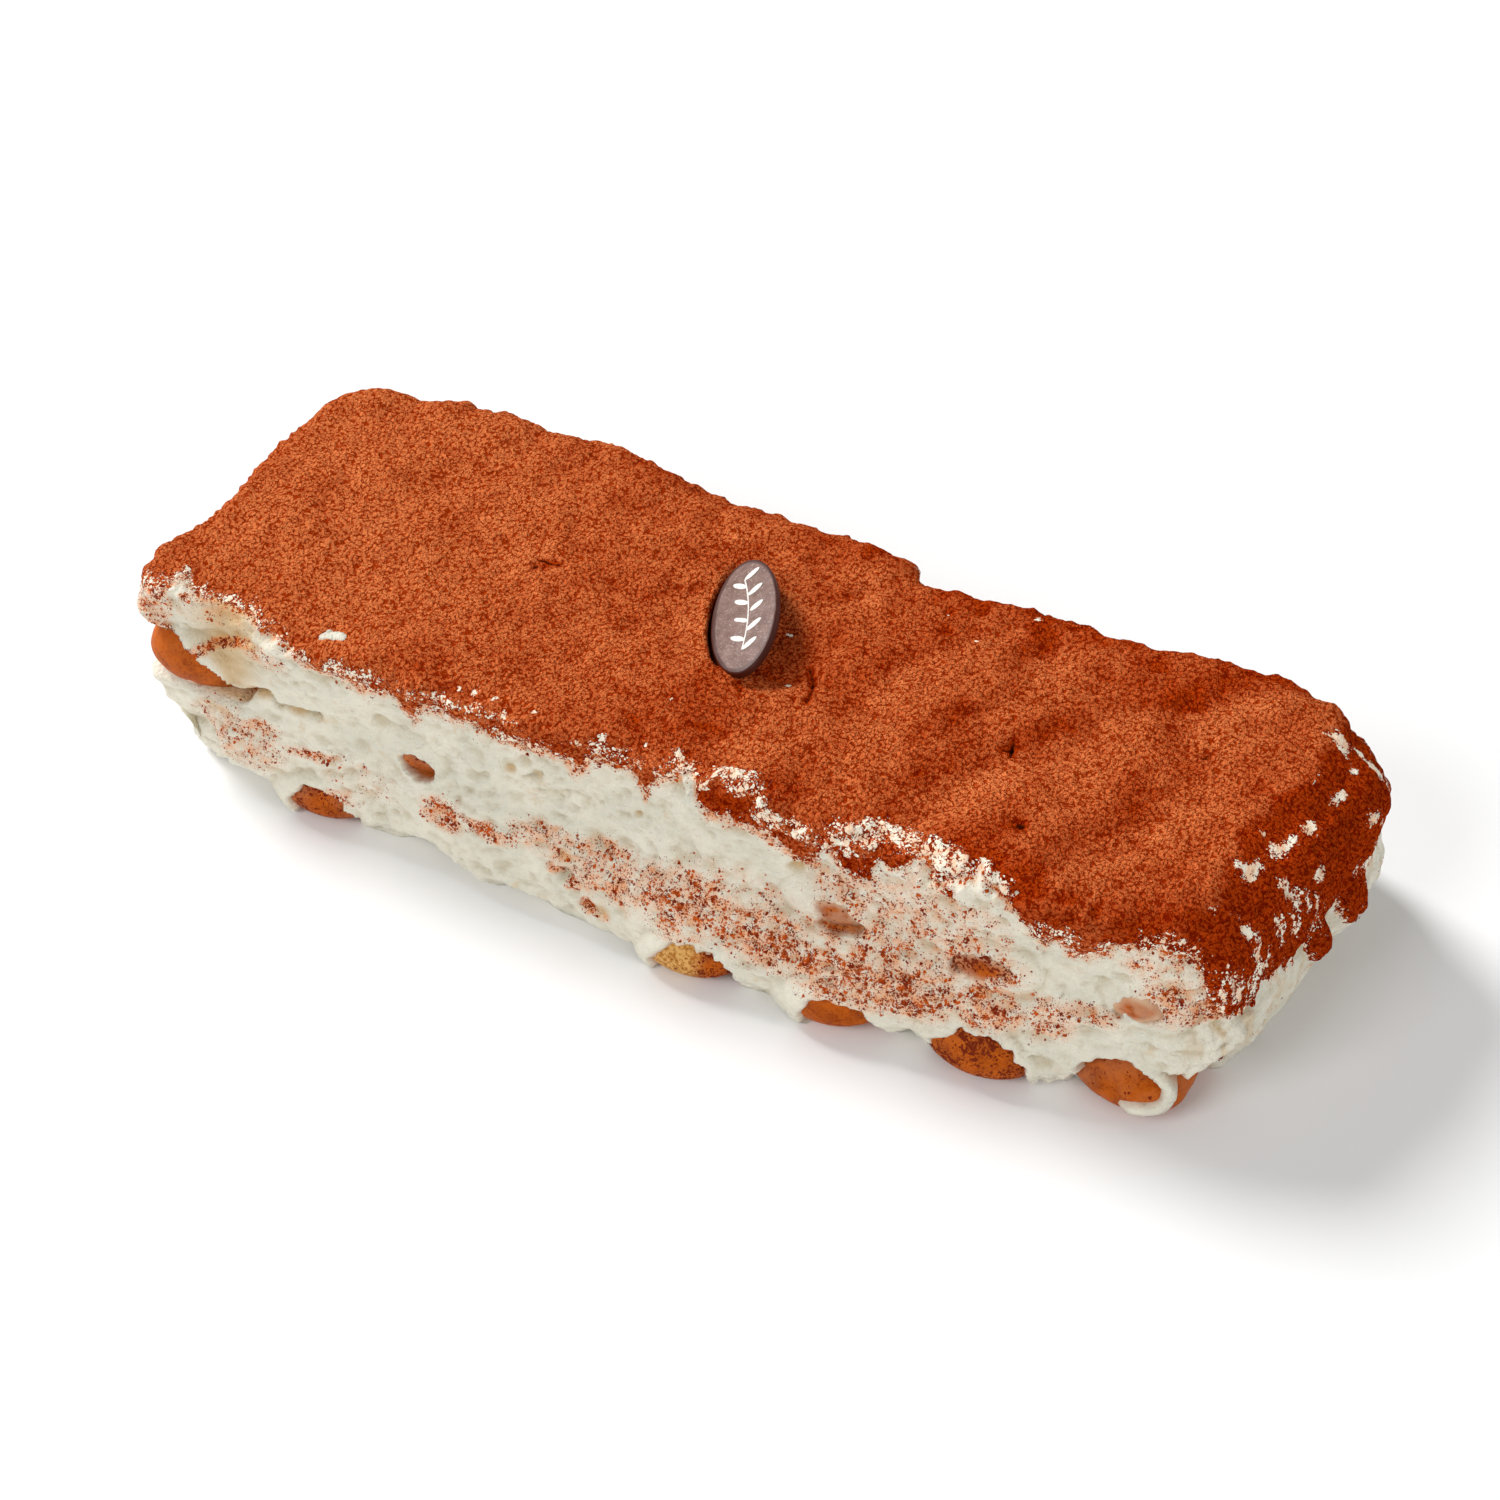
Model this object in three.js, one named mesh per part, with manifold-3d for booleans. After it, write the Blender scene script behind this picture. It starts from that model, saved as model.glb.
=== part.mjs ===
// A whole tiramisu: two layers of ladyfingers in mascarpone cream under a cocoa dusting,
// with an oval chocolate plaque pushed into its top.
// Millimetres, +Z up. X runs along the block, -Y is its front and Z = 0 is what it rests on.

import * as THREE from 'three';
import { mergeVertices } from 'three/addons/utils/BufferGeometryUtils.js';
import Module from 'manifold-3d';

const wasm = await Module();
wasm.setup();
const { smoothstep, lerp, degToRad } = THREE.MathUtils;

// Clearance between pieces that touch
const GAP = 0.3;

// Reach of the block's four sides from the origin
const LEFT_REACH = 148;
const LEFT_SKEW = 0.03;
const RIGHT_REACH = 145.5;
const RIGHT_REACH_MOST = 151;
const RIGHT_SKEW = 0.24;
const FRONT_REACH = 46;
const BACK_REACH = 47;
const FRONT_LEFT_CORNER = 5;
const FRONT_RIGHT_CORNER = 11;
const BACK_LEFT_CORNER = 15;
const BACK_RIGHT_CORNER = 17;

// Heights of the layers
const SEAM_HEIGHT = 24;
const SEAM_RISE = 4;
const SEAM_RISE_START = -70;
const SEAM_RISE_END = -122;
const CREAM_HEIGHT = 57;
const COCOA_DEPTH = 1.2;

// Long waves of the top and of the sides: height, and the length of each in turns of one radian
const TOP_WAVE = 0.8;
const TOP_WAVE_ALONG = 23;
const TOP_WAVE_ACROSS = 21;
const TOP_SWELL_SHARE = 0.7;
const TOP_SWELL_ALONG = 41;
const TOP_SWELL_ACROSS = 27;
const SIDE_WAVE = 0.9;
const SIDE_WAVE_ALONG = 9.5;
const SIDE_WAVE_UP = 13;
const END_WAVE_SHARE = 0.5;

// Rounding of the upper edges
const RIM_RADIUS = 6;
const RIGHT_SHOULDER_RADIUS = 19;
const RIGHT_SHOULDER_START = 108;
const LEDGE_RADIUS = 3;

// The sides lean out towards the base and tuck in at the very bottom
const FLARE_TOP = 38;
const FLARE_BOTTOM = 8;
const FRONT_FLARE_ENDS = 4;
const FRONT_FLARE_MIDDLE = 7;
const BACK_FLARE_ENDS = 3;
const BACK_FLARE_MIDDLE = 7;
const FLARE_CENTRE = 22;
const FLARE_SPREAD = 72;
const LEDGE_REACH = 1.2;
const TUCK = 3;
const TUCK_HEIGHT = 7;
const LEFT_TUCK = 2.5;
const LEFT_TUCK_HEIGHT = 30;
const RIGHT_TUCK = 4.5;
const RIGHT_TUCK_HEIGHT = 16;

// Unevenness of the rim: set back at the front's two ends, swollen and then broken away at the back
const RIM_LOW = 28;
const RIM_HIGH = 50;
const FRONT_LEFT_SETBACK = 4;
const FRONT_LEFT_SETBACK_END = -98;
const FRONT_RIGHT_SETBACK = 4.5;
const FRONT_RIGHT_SETBACK_START = 100;
const FRONT_RIGHT_SETBACK_END = 128;
const BACK_SWELL = 5;
const BACK_SWELL_CENTRE = -80;
const BACK_SWELL_SPREAD = 42;
const BACK_NOTCH = 5;
const BACK_NOTCH_START = 19;
const BACK_NOTCH_FULL = 27;
const BACK_NOTCH_FADE = 42;
const BACK_NOTCH_END = 126;

// Ladyfingers
const FINGER_WIDTH = 28.5;
const FINGER_THICKNESS = 16;
const FINGER_BELLY = 6.5;
const FINGER_FLATTENING = 1.25;
const FINGER_CAP = 9;
const FINGER_SIDES = 12;
const FINGER_CAP_RINGS = 3;

// Each finger of a layer: its place along the block, how far its two tips stand out of the cream
// (behind the surface where negative), and its turn in plan
const LOWER_FINGERS = [
  { x: -130, front: -4, back: -3, turn: -1 },
  { x: -99.5, front: 3, back: -4, turn: -1 },
  { x: -69, front: -3, back: 2.5, turn: 0.5 },
  { x: -31, front: -2.5, back: 2, turn: -2 },
  { x: 7, front: 2.5, back: -3, turn: 1 },
  { x: 45.5, front: 3.5, back: 3, turn: -2 },
  { x: 81, front: 3.5, back: -3, turn: 3 },
  { x: 120, front: 3, back: 2, turn: -4 },
];
const UPPER_FINGERS = [
  { x: -137.5, front: 5, back: 2, turn: 1 },
  { x: -105, front: -4, back: -3, turn: -2 },
  { x: -71, front: 1.2, back: -4, turn: 2 },
  { x: -33, front: -3, back: 1.5, turn: -1 },
  { x: 5, front: -3, back: -3, turn: 2 },
  { x: 43, front: 1.8, back: 2, turn: -3 },
  { x: 81, front: 2, back: -3, turn: 1 },
  { x: 118.5, front: 1.8, back: 1.5, turn: -2 },
];

// Chocolate plaque: an oval leaning on its sunken left edge, in a shallow dent
const PLAQUE = { x: -4.5, y: 5.5, length: 40, width: 18.5, thickness: 2.2, bevel: 0.5 };
const PLAQUE_TURN = 24;
const PLAQUE_LEAN = 28;
const PLAQUE_RISE = 2.6;
const DENT = { x: 9, y: 2, depth: 2, spread: 13 };

// Extent of the cocoa: down over the rim, and down the right end
const COCOA_LOWEST = 50.5;
const COCOA_RIGHT_LOWEST = 28;
const COCOA_RIGHT_FRONT = -39;
const COCOA_RIGHT_WAVE = 1.5;
const COCOA_RIGHT_WAVE_ALONG = 5.5;
const COCOA_RIGHT_STEPS = 10;
const COCOA_RIM_OVERHANG = 3;
const COCOA_DRAPES = [{ x: -48, spread: 36 }, { x: 108, spread: 16 }];
const COCOA_RIM_BARE = 3;
const COCOA_BARE = { x: 47, spread: 38 };
const COCOA_EDGE_WAVE = 0.9;
const COCOA_EDGE_WAVE_ALONG = 4.1;
const COCOA_EDGE_STEPS = 36;

// Mesh fineness of the block: along X, along Y and up
const COLUMNS = 36;
const ROWS = 8;
const LEVELS = 5;
const ROUNDING_FROM = 0.4;
const CROWDING = 0.55;

const CREAM = new THREE.MeshStandardMaterial({ color: 0xe4e0cd, roughness: 0.55, metalness: 0 });
const COCOA = new THREE.MeshStandardMaterial({ color: 0xa8431f, roughness: 0.95, metalness: 0 });
const SPONGE = new THREE.MeshStandardMaterial({ color: 0xbd7438, roughness: 0.7, metalness: 0 });
const CHOCOLATE = new THREE.MeshStandardMaterial({ color: 0x6f5148, roughness: 0.45, metalness: 0 });

// Bell curve of height 1 around a place
function bell(t, centre, spread) {
  return Math.exp(-(((t - centre) / spread) ** 2));
}

// Height of the seam between the two cream layers
function seamHeight(x) {
  return SEAM_HEIGHT + SEAM_RISE * (1 - smoothstep(x, SEAM_RISE_END, SEAM_RISE_START));
}

// Height of the cream's top, with long waves and the dent beside the plaque
function creamTop(x, y) {
  const wave = Math.sin(x / TOP_WAVE_ALONG) * Math.cos(y / TOP_WAVE_ACROSS);
  const swell = TOP_SWELL_SHARE * Math.sin(x / TOP_SWELL_ALONG - y / TOP_SWELL_ACROSS);
  const dent = DENT.depth * bell(Math.hypot(x - DENT.x, y - DENT.y), 0, DENT.spread);
  return CREAM_HEIGHT + TOP_WAVE * (wave + swell) - dent;
}

// Share of the base flare at a height: 1 near the base, 0 above it
function flareShare(z) {
  return 1 - smoothstep(z, FLARE_BOTTOM, FLARE_TOP);
}

// Share of a tuck at a height: 1 at the very bottom, 0 above it
function tuckShare(z, height) {
  return 1 - smoothstep(z, 0, height);
}

function sideWave(along, z) {
  return SIDE_WAVE * Math.sin(along / SIDE_WAVE_ALONG + Math.sin(z / SIDE_WAVE_UP));
}

function frontReach(x, z) {
  const flare = FRONT_FLARE_ENDS + FRONT_FLARE_MIDDLE * bell(x, FLARE_CENTRE, FLARE_SPREAD);
  const leftShare = 1 - smoothstep(x, -LEFT_REACH, FRONT_LEFT_SETBACK_END);
  const setback = FRONT_LEFT_SETBACK * leftShare * smoothstep(z, RIM_LOW, RIM_HIGH)
    + FRONT_RIGHT_SETBACK * smoothstep(x, FRONT_RIGHT_SETBACK_START, FRONT_RIGHT_SETBACK_END);
  return FRONT_REACH + flare * flareShare(z) - TUCK * tuckShare(z, TUCK_HEIGHT) - setback + sideWave(x, z);
}

function backReach(x, z) {
  const flare = BACK_FLARE_ENDS + BACK_FLARE_MIDDLE * bell(x, FLARE_CENTRE, FLARE_SPREAD);
  const swell = BACK_SWELL * bell(x, BACK_SWELL_CENTRE, BACK_SWELL_SPREAD);
  const notch = BACK_NOTCH * smoothstep(x, BACK_NOTCH_START, BACK_NOTCH_FULL)
    * (1 - smoothstep(x, BACK_NOTCH_FADE, BACK_NOTCH_END));
  const rim = (swell - notch) * smoothstep(z, RIM_LOW, RIM_HIGH);
  return BACK_REACH + flare * flareShare(z) - TUCK * tuckShare(z, TUCK_HEIGHT) + rim - sideWave(x, z);
}

function leftReach(y, z) {
  const tuck = LEFT_TUCK * tuckShare(z, LEFT_TUCK_HEIGHT);
  return LEFT_REACH - LEFT_SKEW * y - tuck + END_WAVE_SHARE * sideWave(y, z);
}

function rightReach(y, z) {
  const skewed = Math.min(RIGHT_REACH + RIGHT_SKEW * y, RIGHT_REACH_MOST);
  return skewed - RIGHT_TUCK * tuckShare(z, RIGHT_TUCK_HEIGHT) - END_WAVE_SHARE * sideWave(y, z);
}

// Radius of the upper edge: small along the sides, a broad shoulder at the right end
function rimRadius(x) {
  return lerp(RIM_RADIUS, RIGHT_SHOULDER_RADIUS, smoothstep(x, RIGHT_SHOULDER_START, RIGHT_REACH));
}

// Crowds evenly spaced stations (0 to 1) towards both ends
function crowd(t) {
  return t - CROWDING * Math.sin(2 * Math.PI * t) / (2 * Math.PI);
}

// Rounds the vertical corners of the plan; u and v run from -1 to 1
function roundPlan(u, v) {
  const front = u < 0 ? FRONT_LEFT_CORNER : FRONT_RIGHT_CORNER;
  const back = u < 0 ? BACK_LEFT_CORNER : BACK_RIGHT_CORNER;
  const corner = v < 0 ? front : back;
  const overX = Math.abs(u) * LEFT_REACH - (LEFT_REACH - corner);
  const overY = Math.abs(v) * FRONT_REACH - (FRONT_REACH - corner);
  if (overX <= 0 || overY <= 0) return [u, v];
  const pull = Math.max(overX, overY) / Math.hypot(overX, overY);
  return [
    Math.sign(u) * (LEFT_REACH - corner + overX * pull) / LEFT_REACH,
    Math.sign(v) * (FRONT_REACH - corner + overY * pull) / FRONT_REACH,
  ];
}

// A box bent into a layer of the block: floor(x), top(x, y) and radius(x) give its heights and its
// upper rounding, and grow pushes its surface outwards
function layerGeometry(floor, top, radius, reachMore, grow) {
  const box = new THREE.BoxGeometry(1, 1, 1, COLUMNS, ROWS, LEVELS);
  box.deleteAttribute('normal');
  box.deleteAttribute('uv');
  const geometry = mergeVertices(box);
  const position = geometry.attributes.position;
  for (let i = 0; i < position.count; i += 1) {
    const across = 2 * crowd(position.getX(i) + 0.5) - 1;
    const deep = 2 * crowd(position.getY(i) + 0.5) - 1;
    const up = position.getZ(i) + 0.5;
    const [u, v] = roundPlan(across, deep);
    const nearX = u * (u < 0 ? LEFT_REACH : RIGHT_REACH);
    const nearY = v * (v < 0 ? FRONT_REACH : BACK_REACH);
    const edge = radius(nearX);
    const highest = top(nearX, nearY) + grow;
    const turn = Math.max(0, (up - ROUNDING_FROM) / (1 - ROUNDING_FROM)) * Math.PI / 2;
    const z = up < ROUNDING_FROM
      ? lerp(floor(nearX), highest - edge, up / ROUNDING_FROM)
      : highest - edge * (1 - Math.sin(turn));
    const more = reachMore + grow - edge * (1 - Math.cos(turn));
    const reachX = (u < 0 ? leftReach(nearY, z) : rightReach(nearY, z)) + more;
    const reachY = (v < 0 ? frontReach(nearX, z) : backReach(nearX, z)) + more;
    position.setXYZ(i, u * reachX, v * reachY, z);
  }
  return geometry;
}

function upperLayer(grow) {
  return layerGeometry((x) => seamHeight(x) + GAP / 2, creamTop, rimRadius, 0, grow);
}

function lowerLayer() {
  return layerGeometry(() => 0, (x) => seamHeight(x) - GAP / 2, () => LEDGE_RADIUS, LEDGE_REACH, 0);
}

// A ladyfinger lying across the block: a capsule with blunt ends and a flat underside
function fingerGeometry(finger, floor, grow, under) {
  const middle = floor + FINGER_BELLY;
  const front = -frontReach(finger.x, middle) - finger.front - grow;
  const back = backReach(finger.x, middle) + finger.back + grow;
  const body = (back - front) / 2 - FINGER_CAP;
  const capsule = new THREE.CapsuleGeometry(1, 2, FINGER_CAP_RINGS, FINGER_SIDES, 1);
  capsule.deleteAttribute('normal');
  capsule.deleteAttribute('uv');
  const geometry = mergeVertices(capsule);
  const position = geometry.attributes.position;
  for (let i = 0; i < position.count; i += 1) {
    const along = position.getY(i);
    const end = Math.max(0, Math.abs(along) - 1);
    const high = position.getZ(i);
    const rise = grow + (high > 0 ? FINGER_THICKNESS - FINGER_BELLY : FINGER_BELLY * FINGER_FLATTENING);
    position.setXYZ(
      i,
      position.getX(i) * (FINGER_WIDTH / 2 + grow),
      Math.sign(along) * (Math.min(Math.abs(along), 1) * body + end * FINGER_CAP),
      Math.max(FINGER_BELLY + high * rise, -under),
    );
  }
  geometry.rotateZ(degToRad(finger.turn));
  geometry.translate(finger.x, (front + back) / 2, floor);
  return geometry;
}

// The plaque: a bevelled oval, leaning about its long axis
function plaqueGeometry(grow) {
  const oval = new THREE.Shape();
  const { length, width, thickness, bevel } = PLAQUE;
  oval.absellipse(0, 0, width / 2 - bevel, length / 2 - bevel, 0, 2 * Math.PI, false, 0);
  const extruded = new THREE.ExtrudeGeometry(oval, {
    depth: thickness - 2 * bevel + 2 * grow,
    bevelThickness: bevel,
    bevelSize: bevel + grow,
    bevelSegments: 1,
    curveSegments: 16,
  });
  extruded.deleteAttribute('normal');
  extruded.deleteAttribute('uv');
  const geometry = mergeVertices(extruded);
  geometry.translate(0, 0, -thickness / 2 + bevel - grow);
  geometry.rotateY(-degToRad(PLAQUE_LEAN));
  geometry.rotateZ(degToRad(PLAQUE_TURN));
  geometry.translate(PLAQUE.x, PLAQUE.y, CREAM_HEIGHT + COCOA_DEPTH + PLAQUE_RISE);
  return geometry;
}

// Space that the cocoa keeps to: the top with its uneven front edge, and the right end
function cocoaSpace() {
  const outline = new THREE.Shape();
  const start = -LEFT_REACH - COCOA_RIM_OVERHANG;
  const end = RIGHT_REACH_MOST + COCOA_RIM_OVERHANG;
  outline.moveTo(end, BACK_REACH + BACK_SWELL + COCOA_RIM_OVERHANG);
  outline.lineTo(start, BACK_REACH + BACK_SWELL + COCOA_RIM_OVERHANG);
  for (let step = 0; step <= COCOA_EDGE_STEPS; step += 1) {
    const x = lerp(start, end, step / COCOA_EDGE_STEPS);
    const drape = COCOA_DRAPES.reduce((sum, { x: at, spread }) => sum + bell(x, at, spread), 0);
    const bare = bell(x, COCOA_BARE.x, COCOA_BARE.spread);
    const wave = COCOA_EDGE_WAVE * Math.sin(x / COCOA_EDGE_WAVE_ALONG);
    const past = COCOA_RIM_OVERHANG * drape - COCOA_RIM_BARE * bare + wave;
    outline.lineTo(x, -frontReach(x, CREAM_HEIGHT) - past);
  }
  const high = 2 * RIGHT_SHOULDER_RADIUS;
  const topSpace = new THREE.ExtrudeGeometry(outline, { depth: high, bevelEnabled: false });
  topSpace.translate(0, 0, COCOA_LOWEST);

  const endLength = end - (RIGHT_REACH - RIGHT_SHOULDER_RADIUS);
  const endDepth = BACK_REACH + BACK_SWELL - COCOA_RIGHT_FRONT;
  const endHeight = CREAM_HEIGHT + high - COCOA_RIGHT_LOWEST;
  const endSpace = new THREE.BoxGeometry(endLength, endDepth, endHeight, 1, COCOA_RIGHT_STEPS, 1);
  endSpace.translate(
    end - endLength / 2,
    COCOA_RIGHT_FRONT + endDepth / 2,
    COCOA_RIGHT_LOWEST + endHeight / 2,
  );
  const position = endSpace.attributes.position;
  for (let i = 0; i < position.count; i += 1) {
    if (position.getZ(i) > CREAM_HEIGHT) continue;
    const wave = COCOA_RIGHT_WAVE * Math.sin(position.getY(i) / COCOA_RIGHT_WAVE_ALONG);
    position.setZ(i, position.getZ(i) + wave);
  }
  return solidOf(topSpace).add(solidOf(endSpace));
}

// A closed geometry as a solid that can be joined and cut
function solidOf(geometry) {
  const bare = geometry.clone();
  bare.deleteAttribute('normal');
  bare.deleteAttribute('uv');
  const merged = mergeVertices(bare);
  return new wasm.Manifold(new wasm.Mesh({
    numProp: 3,
    vertProperties: Float32Array.from(merged.attributes.position.array),
    triVerts: Uint32Array.from(merged.index.array),
  }));
}

// The largest connected body of a solid, as a geometry
function geometryOf(solid) {
  const bodies = solid.decompose();
  const largest = bodies.reduce((best, body) => (body.volume() > best.volume() ? body : best));
  const mesh = largest.getMesh();
  const geometry = new THREE.BufferGeometry();
  geometry.setAttribute('position', new THREE.BufferAttribute(Float32Array.from(mesh.vertProperties), 3));
  geometry.setIndex(new THREE.BufferAttribute(Uint32Array.from(mesh.triVerts), 1));
  return geometry;
}

function cutAll(solid, cutters) {
  return cutters.reduce((left, cutter) => left.subtract(cutter), solid);
}

const tiramisu = new THREE.Group();

function addPiece(name, geometry, material) {
  const mesh = new THREE.Mesh(geometry, material);
  mesh.name = name;
  mesh.geometry.computeVertexNormals();
  tiramisu.add(mesh);
}

function upperFloor(finger) {
  return seamHeight(finger.x) + GAP;
}

const lowerSeats = LOWER_FINGERS.map((finger) => solidOf(fingerGeometry(finger, 0, GAP, TUCK)));
const upperSeats = UPPER_FINGERS.map(
  (finger) => solidOf(fingerGeometry(finger, upperFloor(finger), GAP, GAP)),
);
const plaqueSlot = solidOf(plaqueGeometry(GAP));

LOWER_FINGERS.forEach((finger, i) => {
  addPiece(`ladyfinger_lower_${i + 1}`, fingerGeometry(finger, 0, 0, 0), SPONGE);
});
UPPER_FINGERS.forEach((finger, i) => {
  addPiece(`ladyfinger_upper_${i + 1}`, fingerGeometry(finger, upperFloor(finger), 0, 0), SPONGE);
});

const creamLower = cutAll(solidOf(lowerLayer()), [...lowerSeats, ...upperSeats]);
addPiece('cream_lower', geometryOf(creamLower), CREAM);

const creamUpper = cutAll(solidOf(upperLayer(0)), [...upperSeats, plaqueSlot]);
addPiece('cream_upper', geometryOf(creamUpper), CREAM);

const cocoaSkin = solidOf(upperLayer(GAP + COCOA_DEPTH))
  .subtract(solidOf(upperLayer(GAP)))
  .intersect(cocoaSpace());
addPiece('cocoa_dusting', geometryOf(cutAll(cocoaSkin, [plaqueSlot, ...upperSeats])), COCOA);

addPiece('chocolate_plaque', plaqueGeometry(0), CHOCOLATE);

export default tiramisu;
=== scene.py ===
# %% [markdown]
# # Dressing a tiramisu
# A tiramisu is soft food: two layers of soaked ladyfingers in mascarpone cream, cocoa sifted over
# the top, and a little chocolate plaque pushed into it. The imported model gives its solids. This
# lesson gives each one the surface that a spoon, a palette knife and a sieve leave behind.
#
# First the frame is loaded.

# %% Load the frame
import math

import bmesh
import bpy
import numpy as np
from mathutils import Matrix, Vector


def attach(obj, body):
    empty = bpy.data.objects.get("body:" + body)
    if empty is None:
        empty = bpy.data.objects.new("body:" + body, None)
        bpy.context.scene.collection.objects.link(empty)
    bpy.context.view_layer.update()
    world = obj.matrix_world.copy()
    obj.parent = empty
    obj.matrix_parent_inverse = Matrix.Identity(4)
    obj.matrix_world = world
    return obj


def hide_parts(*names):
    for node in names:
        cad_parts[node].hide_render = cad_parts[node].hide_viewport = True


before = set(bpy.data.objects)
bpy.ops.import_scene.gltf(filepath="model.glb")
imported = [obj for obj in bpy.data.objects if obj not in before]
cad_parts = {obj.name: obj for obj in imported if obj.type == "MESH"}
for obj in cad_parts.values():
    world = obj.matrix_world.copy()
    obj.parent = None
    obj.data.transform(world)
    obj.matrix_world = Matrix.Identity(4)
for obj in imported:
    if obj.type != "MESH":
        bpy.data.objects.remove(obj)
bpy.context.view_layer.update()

# %% [markdown]
# ## The form of the block
# The surface of the cream has to lie where the solids lie, so their form is worked out again from
# the same few sizes, in millimetres. X runs along the block, -Y is its front, Z is up. Every curve
# here takes whole arrays, so that a hundred thousand points cost no more code than one.

# %% Sizes of the block
MM = 0.001
LEFT_REACH, LEFT_SKEW = 148.0, 0.03
RIGHT_REACH, RIGHT_REACH_MOST, RIGHT_SKEW = 145.5, 151.0, 0.24
FRONT_REACH, BACK_REACH = 46.0, 47.0
FRONT_CORNERS, BACK_CORNERS = (5.0, 11.0), (15.0, 17.0)
SEAM_HEIGHT, SEAM_RISE, SEAM_RISE_END, SEAM_RISE_START = 24.0, 4.0, -122.0, -70.0
CREAM_HEIGHT, COCOA_DEPTH, GAP = 57.0, 1.2, 0.3
RIM_RADIUS, SHOULDER_RADIUS, SHOULDER_START, LEDGE_RADIUS = 6.0, 19.0, 108.0, 3.0
LAYER_REACH = {"upper": 0.0, "lower": 1.2}
DENT = {"x": 9.0, "y": 2.0, "depth": 2.0, "spread": 13.0}
FRONT_LEAN, BACK_LEAN, BULGE, BULGE_AT, BULGE_SPREAD = 4.0, 3.0, 7.0, 22.0, 72.0
FOOT_TUCK, FOOT_TUCK_HEIGHT, TOP_WAVE, SIDE_WAVE = 3.0, 7.0, 0.8, 0.9
FOOT_ZONE, UPPER_ZONE = (8, 38), (28, 50)
print("cream in mm:", LEFT_REACH + RIGHT_REACH, "by", FRONT_REACH + BACK_REACH, "by", CREAM_HEIGHT)


# %% Soft steps
def ease(t, low, high):
    """0 below low, 1 above high, and a soft S between."""
    share = np.clip((t - low) / (high - low), 0, 1)
    return share * share * (3 - 2 * share)


def bell(t, centre, spread):
    return np.exp(-((t - centre) / spread) ** 2)


def mix(a, b, share):
    return a + (b - a) * share


def most(shares):
    """The highest of several shares, point by point."""
    return np.max(list(shares), axis=0)


print("a quarter of the way up a soft step:", ease(0.25, 0, 1))


# %% Curves of the block
def seam_height(x):
    return SEAM_HEIGHT + SEAM_RISE * (1 - ease(x, SEAM_RISE_END, SEAM_RISE_START))


def cream_top(x, y):
    wave = np.sin(x / 23) * np.cos(y / 21) + 0.7 * np.sin(x / 41 - y / 27)
    dent = DENT["depth"] * bell(np.hypot(x - DENT["x"], y - DENT["y"]), 0, DENT["spread"])
    return CREAM_HEIGHT + TOP_WAVE * wave - dent


def rim_radius(x):
    return mix(RIM_RADIUS, SHOULDER_RADIUS, ease(x, SHOULDER_START, RIGHT_REACH))


print("cream top at the middle:", round(float(cream_top(0.0, 0.0)), 2), "mm")


# %% Reach of the sides
def tuck(z, height):
    return 1 - ease(z, 0, height)


def foot_lean(least, x, z):
    """How far a long side leans out towards its foot, most where the block bulges."""
    flare = 1 - ease(z, *FOOT_ZONE)
    return (least + BULGE * bell(x, BULGE_AT, BULGE_SPREAD)) * flare - FOOT_TUCK * tuck(z, FOOT_TUCK_HEIGHT)


def side_wave(along, z):
    return SIDE_WAVE * np.sin(along / 9.5 + np.sin(z / 13))


def front_reach(x, z):
    setback = 4 * (1 - ease(x, -148, -98)) * ease(z, *UPPER_ZONE) + 4.5 * ease(x, 100, 128)
    return FRONT_REACH + foot_lean(FRONT_LEAN, x, z) - setback + side_wave(x, z)


def back_reach(x, z):
    swell = 5 * bell(x, -80, 42) - 5 * ease(x, 19, 27) * (1 - ease(x, 42, 126))
    return BACK_REACH + foot_lean(BACK_LEAN, x, z) + swell * ease(z, *UPPER_ZONE) - side_wave(x, z)


def left_reach(y, z):
    return LEFT_REACH - LEFT_SKEW * y - 2.5 * tuck(z, 30) + 0.5 * side_wave(y, z)


def right_reach(y, z):
    skewed = np.minimum(RIGHT_REACH + RIGHT_SKEW * y, RIGHT_REACH_MOST)
    return skewed - 4.5 * tuck(z, 16) - 0.5 * side_wave(y, z)


print("the front's foot lies", round(float(front_reach(0.0, 0.0)), 1), "mm from the middle line")

# %% [markdown]
# ## A skin of columns and rows
# A box that is bent into shape would give large faces on the top and small ones at the corners.
# A cake is better wrapped like a present: columns run round the block and rows climb from its
# foot, over the rim and in to the middle line, each column cut into rows of equal length. Faces of
# about 0.7 mm then lie everywhere, fine enough to carry smears, crumbs and a ragged edge.

# %% Columns round the block
SIDE_COLUMNS = 415
END_COLUMNS = 125


def plan_columns():
    """Places round the square from -1 to 1: front, right end, back, left end."""
    along = np.linspace(-1, 1, SIDE_COLUMNS, endpoint=False)
    across = np.linspace(-1, 1, END_COLUMNS, endpoint=False)
    u = np.concatenate([along, np.ones(END_COLUMNS), -along, -np.ones(END_COLUMNS)])
    v = np.concatenate([-np.ones(SIDE_COLUMNS), across, np.ones(SIDE_COLUMNS), -across])
    return u, v


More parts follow.
